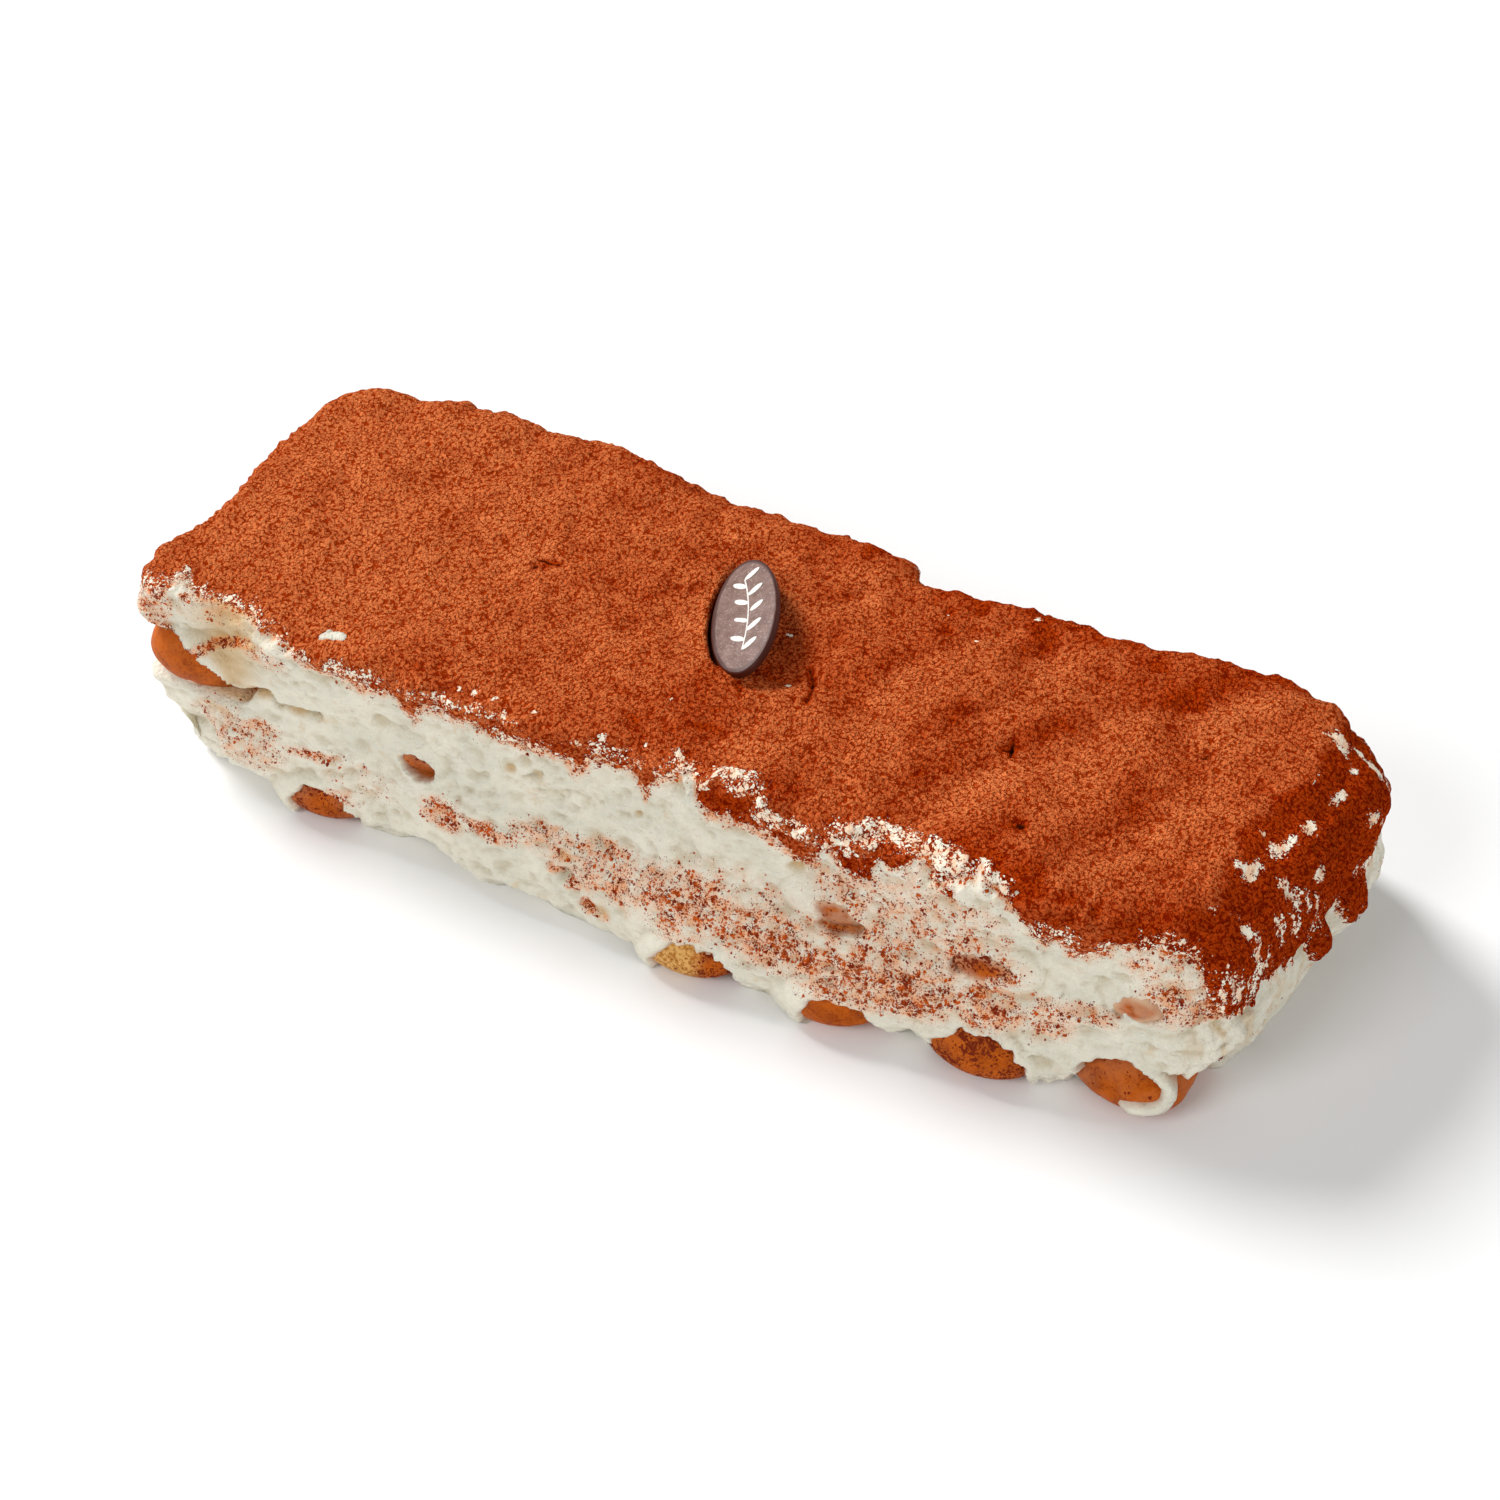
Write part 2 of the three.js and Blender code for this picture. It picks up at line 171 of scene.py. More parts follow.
def round_corners(u, v):
    """Pulls the square's corners in to the corner radii of the plan."""
    front = np.where(u < 0, *FRONT_CORNERS)
    back = np.where(u < 0, *BACK_CORNERS)
    corner = np.where(v < 0, front, back)
    over_x = np.maximum(np.abs(u) * LEFT_REACH - (LEFT_REACH - corner), 0)
    over_y = np.maximum(np.abs(v) * FRONT_REACH - (FRONT_REACH - corner), 0)
    both = (over_x > 0) & (over_y > 0)
    pull = np.where(both, np.maximum(over_x, over_y) / np.maximum(np.hypot(over_x, over_y), 1e-9), 1)
    round_u = np.sign(u) * (LEFT_REACH - corner + over_x * pull) / LEFT_REACH
    round_v = np.sign(v) * (FRONT_REACH - corner + over_y * pull) / FRONT_REACH
    return np.where(both, round_u, u), np.where(both, round_v, v)


COLUMN_U, COLUMN_V = plan_columns()
ROUND_U, ROUND_V = round_corners(COLUMN_U, COLUMN_V)
print("columns round the block:", len(COLUMN_U))


# %% Points of a layer
def layer_points(step, floor, top, radius, more):
    """Points of a layer for each column. A step of 0 to 1 climbs the side, 1 to 2 goes round the
    upper edge and 2 to 3 runs in over the top to the middle line."""
    inwards = np.clip(step - 2, 0, 1)
    u = mix(ROUND_U, COLUMN_U * (1 - FRONT_REACH / LEFT_REACH), inwards)
    v = ROUND_V * (1 - inwards)
    near_x = u * np.where(u < 0, LEFT_REACH, RIGHT_REACH)
    near_y = v * np.where(v < 0, FRONT_REACH, BACK_REACH)
    edge = radius(near_x)
    highest = top(near_x, near_y)
    turn = np.clip(step - 1, 0, 1) * math.pi / 2
    side_z = mix(floor(near_x), highest - edge, np.clip(step, 0, 1))
    z = np.where(step < 1, side_z, highest - edge * (1 - np.sin(turn)))
    out = more(near_x, z) - edge * (1 - np.cos(turn))
    x = u * (np.where(u < 0, left_reach(near_y, z), right_reach(near_y, z)) + out)
    y = v * (np.where(v < 0, front_reach(near_x, z), back_reach(near_x, z)) + out)
    return np.stack([x, y, z], -1)


rim_row = layer_points(np.array([[2.0]]), seam_height, cream_top, rim_radius, lambda x, z: 0.0 * x)
print("highest point of the rim:", round(float(rim_row[..., 2].max()), 1), "mm")


# %% Even rows
def even_steps(surface, first, last, rows):
    """Steps between first and last that cut every column into rows of equal length."""
    fine = np.linspace(first, last, 200)
    points = surface(fine[:, None])
    pieces = np.linalg.norm(np.diff(points, axis=0), axis=-1)
    length = np.vstack([np.zeros(points.shape[1]), np.cumsum(pieces, axis=0)])
    share = np.linspace(0, 1, rows)
    columns = range(points.shape[1])
    return np.array([np.interp(share * length[-1, c], length[:, c], fine) for c in columns]).T


def skin_normals(points):
    """Outward direction at every point of a skin of rows and columns."""
    along = np.roll(points, -1, axis=1) - np.roll(points, 1, axis=1)
    up = np.gradient(points, axis=0)
    out = np.cross(along, up)
    out /= np.maximum(np.linalg.norm(out, axis=-1, keepdims=True), 1e-9)
    out[-1] = (0, 0, 1)
    return out


print("longest stretch between columns:", round(2 * LEFT_REACH / SIDE_COLUMNS, 2), "mm")

# %% [markdown]
# ## Unevenness
# Nothing on a cake is smooth. Soft noise is random slopes on a lattice, blended between its
# points. Summed at several sizes it gives lumps, and stretched sideways it gives the streaks of a
# palette knife. Every call names the width of its bumps and a seed for its slopes, so that each run
# gives the same cake.

# %% Noise
NOISE_GAIN = 1.6


def soft_noise(points, size, seed):
    """Smooth noise of about -1 to 1. Its bumps are about as wide as size, one number or three."""
    table = np.random.default_rng(seed)
    order = table.permutation(256)
    slopes = table.normal(size=(256, 3))
    slopes /= np.linalg.norm(slopes, axis=1, keepdims=True)
    place = points / np.asarray(size, float)
    cell = np.floor(place).astype(int)
    rest = place - cell
    blend = rest ** 3 * (rest * (rest * 6 - 15) + 10)
    total = np.zeros(points.shape[:-1])
    for corner in np.ndindex(2, 2, 2):
        at = cell + corner
        pick = order[(order[(order[at[..., 0] & 255] + at[..., 1]) & 255] + at[..., 2]) & 255]
        weight = np.prod(np.where(corner, blend, 1 - blend), axis=-1)
        total += weight * np.sum(slopes[pick] * (rest - corner), axis=-1)
    return total * NOISE_GAIN


def rough_noise(points, size, seed, layers=3):
    """Noise summed at halving sizes and halving heights."""
    size = np.asarray(size, float)
    return sum(soft_noise(points, size / 2 ** i, seed + i) / 2 ** i for i in range(layers))


noise_line = np.linspace((0.0, 0.0, 0.0), (90.0, 60.0, 30.0), 500)
print("usual height of the noise:", round(float(rough_noise(noise_line, 5, 1).std()), 2))

# %% [markdown]
# ## Where things are on the surface
# A maker thinks of a side as a strip that is unrolled: how far along, and how far up. `climb` is
# that second number. It is the height on the side, and it goes on growing over the rim and inwards
# on the top. Edges, curls and dust are then placed on a flat strip.

# %% Unrolled sides
RIGHT_FACE = 146.0
SIDE_ZONE, SIDE_ZONE_END = 12, 22


def axes(points):
    return points[..., 0], points[..., 1], points[..., 2]


def climbs(points):
    """How far up each of the four unrolled sides a point lies: front, back, left, right."""
    x, y, z = axes(points)
    inset = {
        "front": front_reach(x, z) + y,
        "back": back_reach(x, z) - y,
        "left": left_reach(y, z) + x,
        "right": right_reach(y, z) - x,
    }
    return {side: z + np.maximum(far, 0) for side, far in inset.items()}


def near_side(points, side):
    """1 close to a side and 0 away from it."""
    x, y, _ = axes(points)
    far = {
        "front": y + FRONT_REACH,
        "back": BACK_REACH - y,
        "left": x + LEFT_REACH,
        "right": RIGHT_FACE - x,
    }
    return 1 - ease(far[side], SIDE_ZONE, SIDE_ZONE_END)


TOP_MIDDLE = np.array([[0.0, 0.0, CREAM_HEIGHT]])
print("climb of the top's middle:", {side: round(far.item()) for side, far in climbs(TOP_MIDDLE).items()})


# %% Lines and patches
def along_line(x, climb, line, width):
    """1 on a line of places (x, climb) and falling off to its sides."""
    nearest = np.full(x.shape, 1e9)
    for (x0, c0), (x1, c1) in zip(line[:-1], line[1:]):
        run = (x1 - x0) ** 2 + (c1 - c0) ** 2
        share = np.clip(((x - x0) * (x1 - x0) + (climb - c0) * (c1 - c0)) / run, 0, 1)
        gap = np.hypot(x - mix(x0, x1, share), climb - mix(c0, c1, share))
        nearest = np.minimum(nearest, gap)
    return np.exp(-(nearest / width) ** 2)


def edge_line(x, edge):
    """Height of a line of places (x, height) at any x."""
    spots = np.array(edge, float)
    return np.interp(x, spots[:, 0], spots[:, 1])


def patch(x, z, centre, half):
    """1 inside an oval patch and fading to 0 outside it."""
    return np.exp(-(((x - centre[0]) / half[0]) ** 2 + ((z - centre[1]) / half[1]) ** 2) ** 2)


def oval(x, z, centre, half):
    """1 on the edge of an oval, less inside it and more outside."""
    return np.hypot((x - centre[0]) / half[0], (z - centre[1]) / half[1])


print("a patch at its half size:", round(float(patch(3.0, 0.0, (0, 0), (3, 2))), 2))

# %% [markdown]
# ## The ladyfingers' places
# Each ladyfinger lies across the block. The cream covers it wherever no window is left, and in a
# window its tip looks out. So the cream has to know how far each finger stands out, and the same
# few numbers serve the fingers themselves later.

# %% Places of the ladyfingers
FINGER_WIDTH, FINGER_THICKNESS, FINGER_BELLY, FINGER_CAP = 28.5, 16.0, 6.5, 9.0
FINGER_FLATTENING = 1.25
# Each finger: its place along x, how far its front and back tips stand out, and its turn in degrees
FINGERS = {
    "lower": [
        (-130.0, -4.0, -3.0, -1.0), (-99.5, 3.0, -4.0, -1.0), (-69.0, -3.0, 2.5, 0.5),
        (-31.0, -2.5, 2.0, -2.0), (7.0, 2.5, -3.0, 1.0), (45.5, 3.5, 3.0, -2.0),
        (81.0, 3.5, -3.0, 3.0), (120.0, 3.0, 2.0, -4.0),
    ],
    "upper": [
        (-137.5, 5.0, 2.0, 1.0), (-105.0, -4.0, -3.0, -2.0), (-71.0, 1.2, -4.0, 2.0),
        (-33.0, -3.0, 1.5, -1.0), (5.0, -3.0, -3.0, 2.0), (43.0, 1.8, 2.0, -3.0),
        (81.0, 2.0, -3.0, 1.0), (118.5, 1.8, 1.5, -2.0),
    ],
}
print("ladyfingers:", {layer: len(places) for layer, places in FINGERS.items()})


# %% Tips of the ladyfingers
def finger_floor(layer, x):
    return 0.0 if layer == "lower" else float(seam_height(x)) + GAP


def finger_rise(height):
    """How far a finger reaches above or below the level of its belly."""
    return np.where(height > 0, FINGER_THICKNESS - FINGER_BELLY, FINGER_BELLY * FINGER_FLATTENING)


def finger_ends(layer, place):
    """Height of a finger's belly, and where its front and back tips end."""
    at, front_out, back_out, _ = place
    middle = finger_floor(layer, at) + FINGER_BELLY
    front = -float(front_reach(np.float64(at), np.float64(middle))) - front_out
    back = float(back_reach(np.float64(at), np.float64(middle))) + back_out
    return middle, front, back


def tip_stands_out(x, z, layer, side, grown=1.0):
    """How far the nearest finger's tip stands out of a bare side, far below 0 where none does."""
    out = np.full(x.shape, -20.0)
    reach = front_reach if side == "front" else back_reach
    for place in FINGERS[layer]:
        at, turn = place[0], place[3]
        middle, front, back = finger_ends(layer, place)
        tip_y = front if side == "front" else back
        lean = -math.tan(math.radians(turn)) * tip_y
        wide = (x - at - lean) / (FINGER_WIDTH / 2)
        round_share = (wide ** 2 + ((z - middle) / finger_rise(z - middle)) ** 2) / grown ** 2
        cap = abs(tip_y) - FINGER_CAP * (1 - np.sqrt(np.maximum(1 - round_share, 0)))
        out = np.where(round_share < 1, np.maximum(out, cap - reach(x, z) - LAYER_REACH[layer]), out)
    return out


print("first upper tip: y =", round(finger_ends("upper", FINGERS["upper"][0])[1], 1), "mm")

# %% [markdown]
# ## How far the cocoa reaches
# Cocoa doesn't end in a clean line. It thins out, breaks up, and runs into the cream that the knife
# pushed up. `cocoa_cover` is a distance: how many millimetres a point lies inside that ragged edge.
# It rules three things at once, which keeps them in step: how deep the cocoa lies, how bare its edge
# is, and where dust thins out on the cream. The lists are places given in millimetres along the
# block and up its unrolled front.

# %% Edge of the cocoa on the front
FRONT_EDGE = [
    (-152, 55), (-143, 54), (-139.5, 61), (-136, 57.5), (-120, 58.5), (-107, 56), (-98, 52.5),
    (-85, 51), (-74, 50), (-70, 43), (-66.5, 49.5), (-50, 50.5), (-36, 50.5), (-28, 51.5),
    (-24, 46.5), (-20, 53), (-10, 54), (-6, 46), (-3, 54), (2, 56), (6, 60), (9, 50.5), (24, 50),
    (31, 47), (37, 43), (40, 51), (46, 45), (51, 45.5), (54, 52), (60, 54), (64, 57), (72, 54),
    (77, 61), (84, 55), (89, 50.5), (94, 45.5), (97, 48), (101, 43.5), (106, 47.5), (113, 50.5),
    (122, 52), (127, 51), (131, 42), (136, 35), (152, 32),
]
print("places along the front edge:", len(FRONT_EDGE))

# %% Curls and troughs
CURLS = [
    [(9, 57), (12, 61), (17, 63), (22, 61), (24.5, 57)],
    [(24.5, 57.5), (31, 55), (36, 53)],
    [(38, 46), (41, 52), (46, 60), (52, 63.5), (58, 63), (60.5, 58)],
    [(62, 63), (67, 61), (73, 61)],
    [(76, 63), (79, 58), (83, 54), (88, 50)],
    [(46, 51.5), (50, 53)],
    [(54, 50), (60, 51), (66, 50)],
    [(-140.5, 63), (-139, 57), (-134, 53)],
    [(0, 62), (4, 58), (6, 52)],
]
TROUGHS = [
    [(26, 51), (32, 48.5), (37, 44.5)],
    [(10, 54), (22, 53.5)],
    [(56.5, 54), (57.5, 55.5)],
    [(47.5, 46.5), (49, 49)],
    [(71, 48), (72, 50)],
]
CURL_WIDTH, TROUGH_WIDTH = 1.5, 2.4


def wandering(points, lines, width, seed):
    """1 along lines on the unrolled front, whose course and strength wander."""
    x = points[..., 0] + 1.3 * rough_noise(points, 4, seed, 2)
    climb = climbs(points)["front"] + 1.1 * rough_noise(points, 4, seed + 3, 2)
    strength = 0.35 + 0.65 * ease(rough_noise(points, 2.4, seed + 6, 2), -0.35, 0.4)
    lines_share = most(along_line(x, climb, line, width) for line in lines)
    return near_side(points, "front") * strength * lines_share


def curls(points):
    """1 on the crests of cream that were pushed up along the front edge."""
    return wandering(points, CURLS, CURL_WIDTH, 81)


def troughs(points):
    return wandering(points, TROUGHS, TROUGH_WIDTH, 85)


print("on the front:", len(CURLS), "curls and", len(TROUGHS), "troughs")

# %% Cover
# Scraps of cream that stand out of the cocoa: (x, y) and radius
CHIPS = [(135, 15.4, 1.7), (-96.5, -40.6, 1.4), (-94.2, -40, 1.4), (-92, -39.6, 1.2)]
# Round lumps on the right end: middle (y, z) and half size
HUMPS = [((-2, 25), (4.2, 6)), ((14, 24), (6, 8))]
BACK_EDGE, RIGHT_EDGE, HUMP_REACH = 51, 29, 14
TROUGH_SPREAD, CURL_PUSH, CHIP_PUSH = 5, 1.5, 8


def chips(points):
    """1 where a scrap of cream stands out of the cocoa."""
    x, y, z = axes(points)
    ragged = 0.75 * rough_noise(points, 1.9, 91, 2)
    away = [np.hypot(x - at_x, y - at_y) / radius for at_x, at_y, radius in CHIPS]
    return most(1 - ease(far + ragged, 0.75, 1.2) for far in away) * ease(z, 40, 44)


def humps(points):
    """1 on the round lumps of the right end."""
    x, y, z = axes(points)
    return most(patch(y, z, centre, half) for centre, half in HUMPS) * ease(x, 134, 140)


def cocoa_cover(points):
    x = points[..., 0]
    climb = climbs(points)
    ragged = 1.9 * rough_noise(points, 4.6, 31) + 0.9 * soft_noise(points, 1.5, 35)
    loose = 3.2 * rough_noise(points, 13, 37)
    runs = 5 * rough_noise(points, (26, 3.6, 26), 33)
    broken = near_side(points, "front") * bell(x, 63, 26) * 4.5 * rough_noise(points, (5, 5, 3.6), 39)
    inside = {
        "front": climb["front"] - edge_line(x, FRONT_EDGE) + ragged + broken,
        "back": climb["back"] - BACK_EDGE + loose + ragged,
        "left": climb["left"] - BACK_EDGE + loose + ragged,
        "right": climb["right"] - RIGHT_EDGE + runs + ragged + HUMP_REACH * humps(points),
    }
    spread = TROUGH_SPREAD * troughs(points)
    pushed = CURL_PUSH * curls(points)
    return np.min(list(inside.values()), axis=0) + spread - pushed - CHIP_PUSH * chips(points)


print("the top's middle lies", round(cocoa_cover(TOP_MIDDLE).item()), "mm inside the cocoa's edge")

# %% [markdown]
# ## The top that the knife left
# A palette knife leaves broad swells, hollows and strokes on the top, and pushes the rim about. The
# cocoa lies on them, so cream and cocoa share this relief. Sculpting it by hand would tie it to one
# mesh. Lines with a width and a depth can be read and moved.

# %% Lines that the knife left
# Where the right end starts to fall away: (y, x)
RIGHT_CREST = [(-50, 113), (-40, 120), (-27, 126), (-12, 126), (-3, 127), (6, 131), (15, 136), (50, 135)]
# How far the back rim swells, along x
BACK_SWELL = [
    (-150, 0), (-131, 1.8), (-122, 1), (-114, 3.4), (-92, 3.6), (-85, 1.4), (-71, 1.4), (-62, 2.6),
    (-46, 2.8), (-39, 1.3), (-9, 1.6), (5, 0.8), (10, 2.8), (16, 3.2), (22, 2.2), (28, 1.0), (60, 1.2),
    (68, 0),
]
# Broad hollows that the knife left on the top: depth, width and the line (x, y) each one follows
TOP_HOLLOWS = [
    (2.1, 7.5, [(83, 6), (75, -2), (67, -11), (60, -24), (56, -38)]),
    (1.5, 5.5, [(65, 36), (64, 14), (60, 4), (54, -3)]),
    (1.4, 5.5, [(114, 42), (109, 31), (103, 23)]),
    (1.1, 6.0, [(106, 14), (105, 0), (103, -14), (97, -26)]),
    (1.3, 7.5, [(36, 12), (33, -4), (33, -20), (33, -36)]),
]
print("deepest hollow on the top:", max(depth for depth, _, _ in TOP_HOLLOWS), "mm")

# %% Relief that cream and cocoa share
HUMP_HEIGHT = 2.6


def lies_flat(normals):
    """1 on the top and 0 on the sides."""
    return ease(normals[..., 2], 0.5, 0.95)


def beyond_crest(points):
    """How far a point lies beyond the crest where the right end falls away."""
    return points[..., 0] - edge_line(points[..., 1], RIGHT_CREST)


def top_swell(points):
    """Broad swells, hollows and knife strokes of the top."""
    x, y, _ = axes(points)
    swell = mix(1.5, 0.9, ease(x, 10, 50)) * rough_noise(points, (26, 22, 22), 11, 3)
    wander = 2.5 * soft_noise(points, 12, 13)
    for depth, width, line in TOP_HOLLOWS:
        swell -= depth * along_line(x + wander, y, line, width)
    stroke = 0.77 * x - 0.64 * y + 9 * soft_noise(points, 34, 15)
    ripple = (0.5 * np.sin(stroke / 5.5) + 0.14 * np.sin(stroke / 2.1)) * ease(x, -40, 50)
    return swell + ripple * (0.4 + 0.9 * ease(soft_noise(points, 30, 19), -0.4, 0.4))


def shared_relief(points, normals):
    x, y, z = axes(points)
    flat = lies_flat(normals)
    rim = 1.1 * rough_noise(points, 8, 17, 3) * bell(z, 54, 7) * (1 - flat)
    corner = 3 * near_side(points, "left") * ease(-y, 14, 34) * ease(z, 41, 49) * (1 - flat)
    beyond = beyond_crest(points)
    crest = 0.7 * bell(beyond, -2, 4) - 1.1 * bell(beyond, 6, 5)
    at_back = ease(z, 36, 48) * (1 - ease(BACK_REACH - y, 5, 18))
    back = edge_line(x, BACK_SWELL) * at_back
    return flat * top_swell(points) + rim + corner + crest + back + HUMP_HEIGHT * humps(points)


print("swell at the top's middle:", round(top_swell(TOP_MIDDLE).item(), 2), "mm")

# %% [markdown]
# ## Windows for the fingers
# Here and there the knife wiped the cream off a finger's tip. Such a window is an oval with a torn
# edge and a soft lip. Cream over a tip stands out, and is then seen lower and further left than it
# would be on a flat side, so a window is placed as it is seen. At the left end a wedge lies open.

# %% Oval windows
# Middle (x, z) and half size of each window on the front
WINDOWS = {
    "upper": [((-68.5, 28.6), (5.6, 2.5)), ((44.5, 29.4), (6.2, 2.7)), ((80, 30), (6.5, 3.4)),
              ((116.5, 30.8), (4.8, 3.3))],
    "lower": [((-97.5, 2), (9.5, 9.5)), ((12.5, 1), (11.5, 12.5)), ((50.5, 1), (11, 10.5)),
              ((84, 1), (12.5, 13)), ((121, 6), (15.5, 11.5))],
}
SIGHT_ALONG, SIGHT_DOWN = 0.48, 1.14


def as_seen(points, layer, side):
    """Place along and height of the cream over a finger, as the camera sees them on the flat side."""
    x, _, z = axes(points)
    out = np.maximum(tip_stands_out(x, z, layer, side) + 0.7, 0)
    return x - SIGHT_ALONG * out, z - SIGHT_DOWN * out


def back_windows(layer):
    """A window at the back for each finger that stands out there."""
    stands_out = [(at, back) for at, _, back, _ in FINGERS[layer] if back > 0]
    return [
        ((at, finger_floor(layer, at) + 4.5), (5 + 2 * back, 3.5 + 1.6 * back))
        for at, back in stands_out
    ]


print("windows:", {layer: len(WINDOWS[layer]) + len(back_windows(layer)) for layer in WINDOWS})

# %% Torn edges
WINDOW_SEEDS = {"upper": {"front": 41, "back": 43}, "lower": {"front": 51, "back": 53}}
CREAM_SMEAR = ((117, 10.5), (11, 7))
CRISP_TEAR, SOFT_TEAR = 0.1, 0.22


def window_share(points, layer, side):
    """1 inside an oval window with a torn edge, and 1 on the lip round it."""
    x, z = as_seen(points, layer, side)
    soft = np.where((layer == "upper") & (x > 0), SOFT_TEAR, CRISP_TEAR)
    torn = (soft + 0.04) * rough_noise(points, 3.5, WINDOW_SEEDS[layer][side], 2)
    windows = WINDOWS[layer] if side == "front" else back_windows(layer)
    away = [oval(x, z, centre, half) + torn for centre, half in windows]
    inside = most(1 - ease(far, 0.96 - soft, 0.96 + soft) for far in away)
    lip = most(bell(far, 1.2, 0.17) for far in away)
    return inside, lip * (1 - inside)


def cream_smear(points):
    """1 on the hook of cream that is left on the last lower tip."""
    x, z = as_seen(points, "lower", "front")
    far = oval(x, z, *CREAM_SMEAR)
    ring = (1 - ease(np.abs(far - 1), 0.1, 0.26)) * ease(x, 112, 120) * ease(z, 0, 2)
    return ring * near_side(points, "front")


print("a soft tear is", round(SOFT_TEAR / CRISP_TEAR, 1), "times as wide as a crisp one")

# %% Wedge and fold at the left
LEFT_LIP = [
    (-156, 44.5), (-146, 43.3), (-140, 41), (-137, 36), (-133, 33.7), (-125, 33), (-120, 33.5),
    (-116, 35.5), (-112, 37), (-109.5, 33.8), (-102, 34.7), (-97, 33.8),
]
LEFT_WINDOW_FOOT = [(-156, 28), (-130, 28), (-124, 28.8), (-118, 32), (-112, 36.5)]
LEFT_FOLD = [
    (-156, 49), (-148, 48), (-143, 44), (-138, 41.5), (-132, 41.5), (-127, 44), (-121, 47), (-114, 50),
]


def left_window(points):
    """The wedge at the left where the first upper finger lies bare, and the crack that ends it."""
    x = points[..., 0]
    seen_x, seen_z = as_seen(points, "upper", "front")
    seen_z = seen_z + 0.35 * rough_noise(points, 4, 45, 2)
    above = seen_z - edge_line(seen_x, LEFT_LIP)
    foot = seen_z - edge_line(seen_x, LEFT_WINDOW_FOOT)
    wedge = (1 - ease(above, -0.4, 0.4)) * ease(foot, -1.6, 0) * (1 - ease(seen_x, -119, -117))
    crack = bell(above, -0.9, 1.0) * ease(x, -122, -117) * (1 - ease(x, -98.5, -96))
    overhang = ease(above, -0.5, 0.6) * np.exp(-np.maximum(above, 0) / 4) * (1 - ease(x, -112, -96))
    return wedge, crack, overhang


def left_fold(points):
    """A droop of cream at the left: how far below its upper edge a point lies, and the edge itself."""
    x, _, z = axes(points)
    below = edge_line(x, LEFT_FOLD) - z + 0.5 * rough_noise(points, 3, 49, 2)
    ends = ease(x, -153, -147) * (1 - ease(x, -119, -113)) * near_side(points, "front")
    droop = ease(below, -0.6, 0.8) * np.exp(-np.maximum(below, 0) / 4.5) - 0.5 * bell(below, -2.5, 2)
    return ends * droop, ends * bell(below, -0.4, 1.4)


print("the wedge at the left is", LEFT_LIP[0][1] - LEFT_WINDOW_FOOT[0][1], "mm high")

# %% [markdown]
# ## Relief of the cream
# The cream is spread with a knife, so its sides carry broad dabs, level streaks, torn crags and
# small burst bubbles. Over the ladyfingers it is lifted until it covers them, and in a window it
# falls back behind the tip. A bump map alone would leave the outline smooth, so all of it is moved
# in the mesh.

# %% Relief of the sides
DAB_SIZE, STREAK_SIZE, CRAG_SIZE, FOLD_SIZE = (13, 13, 9), (13, 13, 2.8), (3.8, 3.8, 2.8), (7, 7, 3.4)
DAB_HEIGHT, STREAK_HEIGHT, FOLD_HEIGHT = 0.95, 0.45, 0.6
CRAG_HEIGHT, TORN_CRAG_HEIGHT = 0.42, 0.55
BUBBLE_SIZE, BUBBLE_DEPTH = 2.2, 0.7
# Small pits in the front: middle (x, z), radius and depth
PITS = [
    ((-42, 40), 2.2, 1.2), ((-35, 40), 1.8, 1.0), ((5, 33), 3.6, 1.3), ((33, 40), 2.2, 1.4),
    ((-8, 39), 0.9, 1.3), ((-29, 35), 0.8, 1.0), ((74, 36), 1.1, 1.6), ((109, 33.5), 1.4, 1.6),
    ((-80, 37.7), 2.2, 0.9), ((-25, 16.5), 2.4, 1.6), ((-18, 10.5), 2.2, 1.6),
]


def side_relief(points, normals):
    """Dabs, knife streaks, crags and bubbles on a side of cream."""
    side = 1 - ease(normals[..., 2], 0.6, 0.95)
    dabs = DAB_HEIGHT * rough_noise(points, DAB_SIZE, 21, 2)
    streaks = STREAK_HEIGHT * (1 - 2 * np.abs(soft_noise(points, STREAK_SIZE, 23)))
    torn = ease(soft_noise(points, 22, 25), -0.3, 0.4)
    crags = (CRAG_HEIGHT + TORN_CRAG_HEIGHT * torn) * rough_noise(points, CRAG_SIZE, 27)
    folds = FOLD_HEIGHT * torn * (1 - 2.4 * np.abs(soft_noise(points, FOLD_SIZE, 28)))
    holes = -BUBBLE_DEPTH * ease(soft_noise(points, BUBBLE_SIZE, 29), 0.62, 0.9)
    return side * (dabs + streaks + crags + folds + holes)


def pit_relief(points):
    x, _, z = axes(points)
    deep = sum(depth * patch(x, z, centre, (radius, 0.8 * radius)) for centre, radius, depth in PITS)
    return -near_side(points, "front") * deep


print("pits in the front:", len(PITS), "up to", max(depth for _, _, depth in PITS), "mm deep")

# %% Cream over the fingers
COAT, SINK, DEEPEST_SINK = 1.2, 1.2, -5


def cover_or_reveal(relief, points, layer, windows):
    """Lifts the cream over the fingers, and draws it back in the windows."""
    x, _, z = axes(points)
    for side, (inside, lip) in windows.items():
        hidden = tip_stands_out(x, z, layer, side, 1.1) + COAT
        covered = np.maximum(relief, np.where(hidden > -3, hidden, -9)) + 0.5 * lip
        bare = np.minimum(relief, tip_stands_out(x, z, layer, side) - SINK)
        drawn = mix(covered, np.maximum(bare, DEEPEST_SINK), inside)
        relief = mix(relief, drawn, near_side(points, side))
    return relief


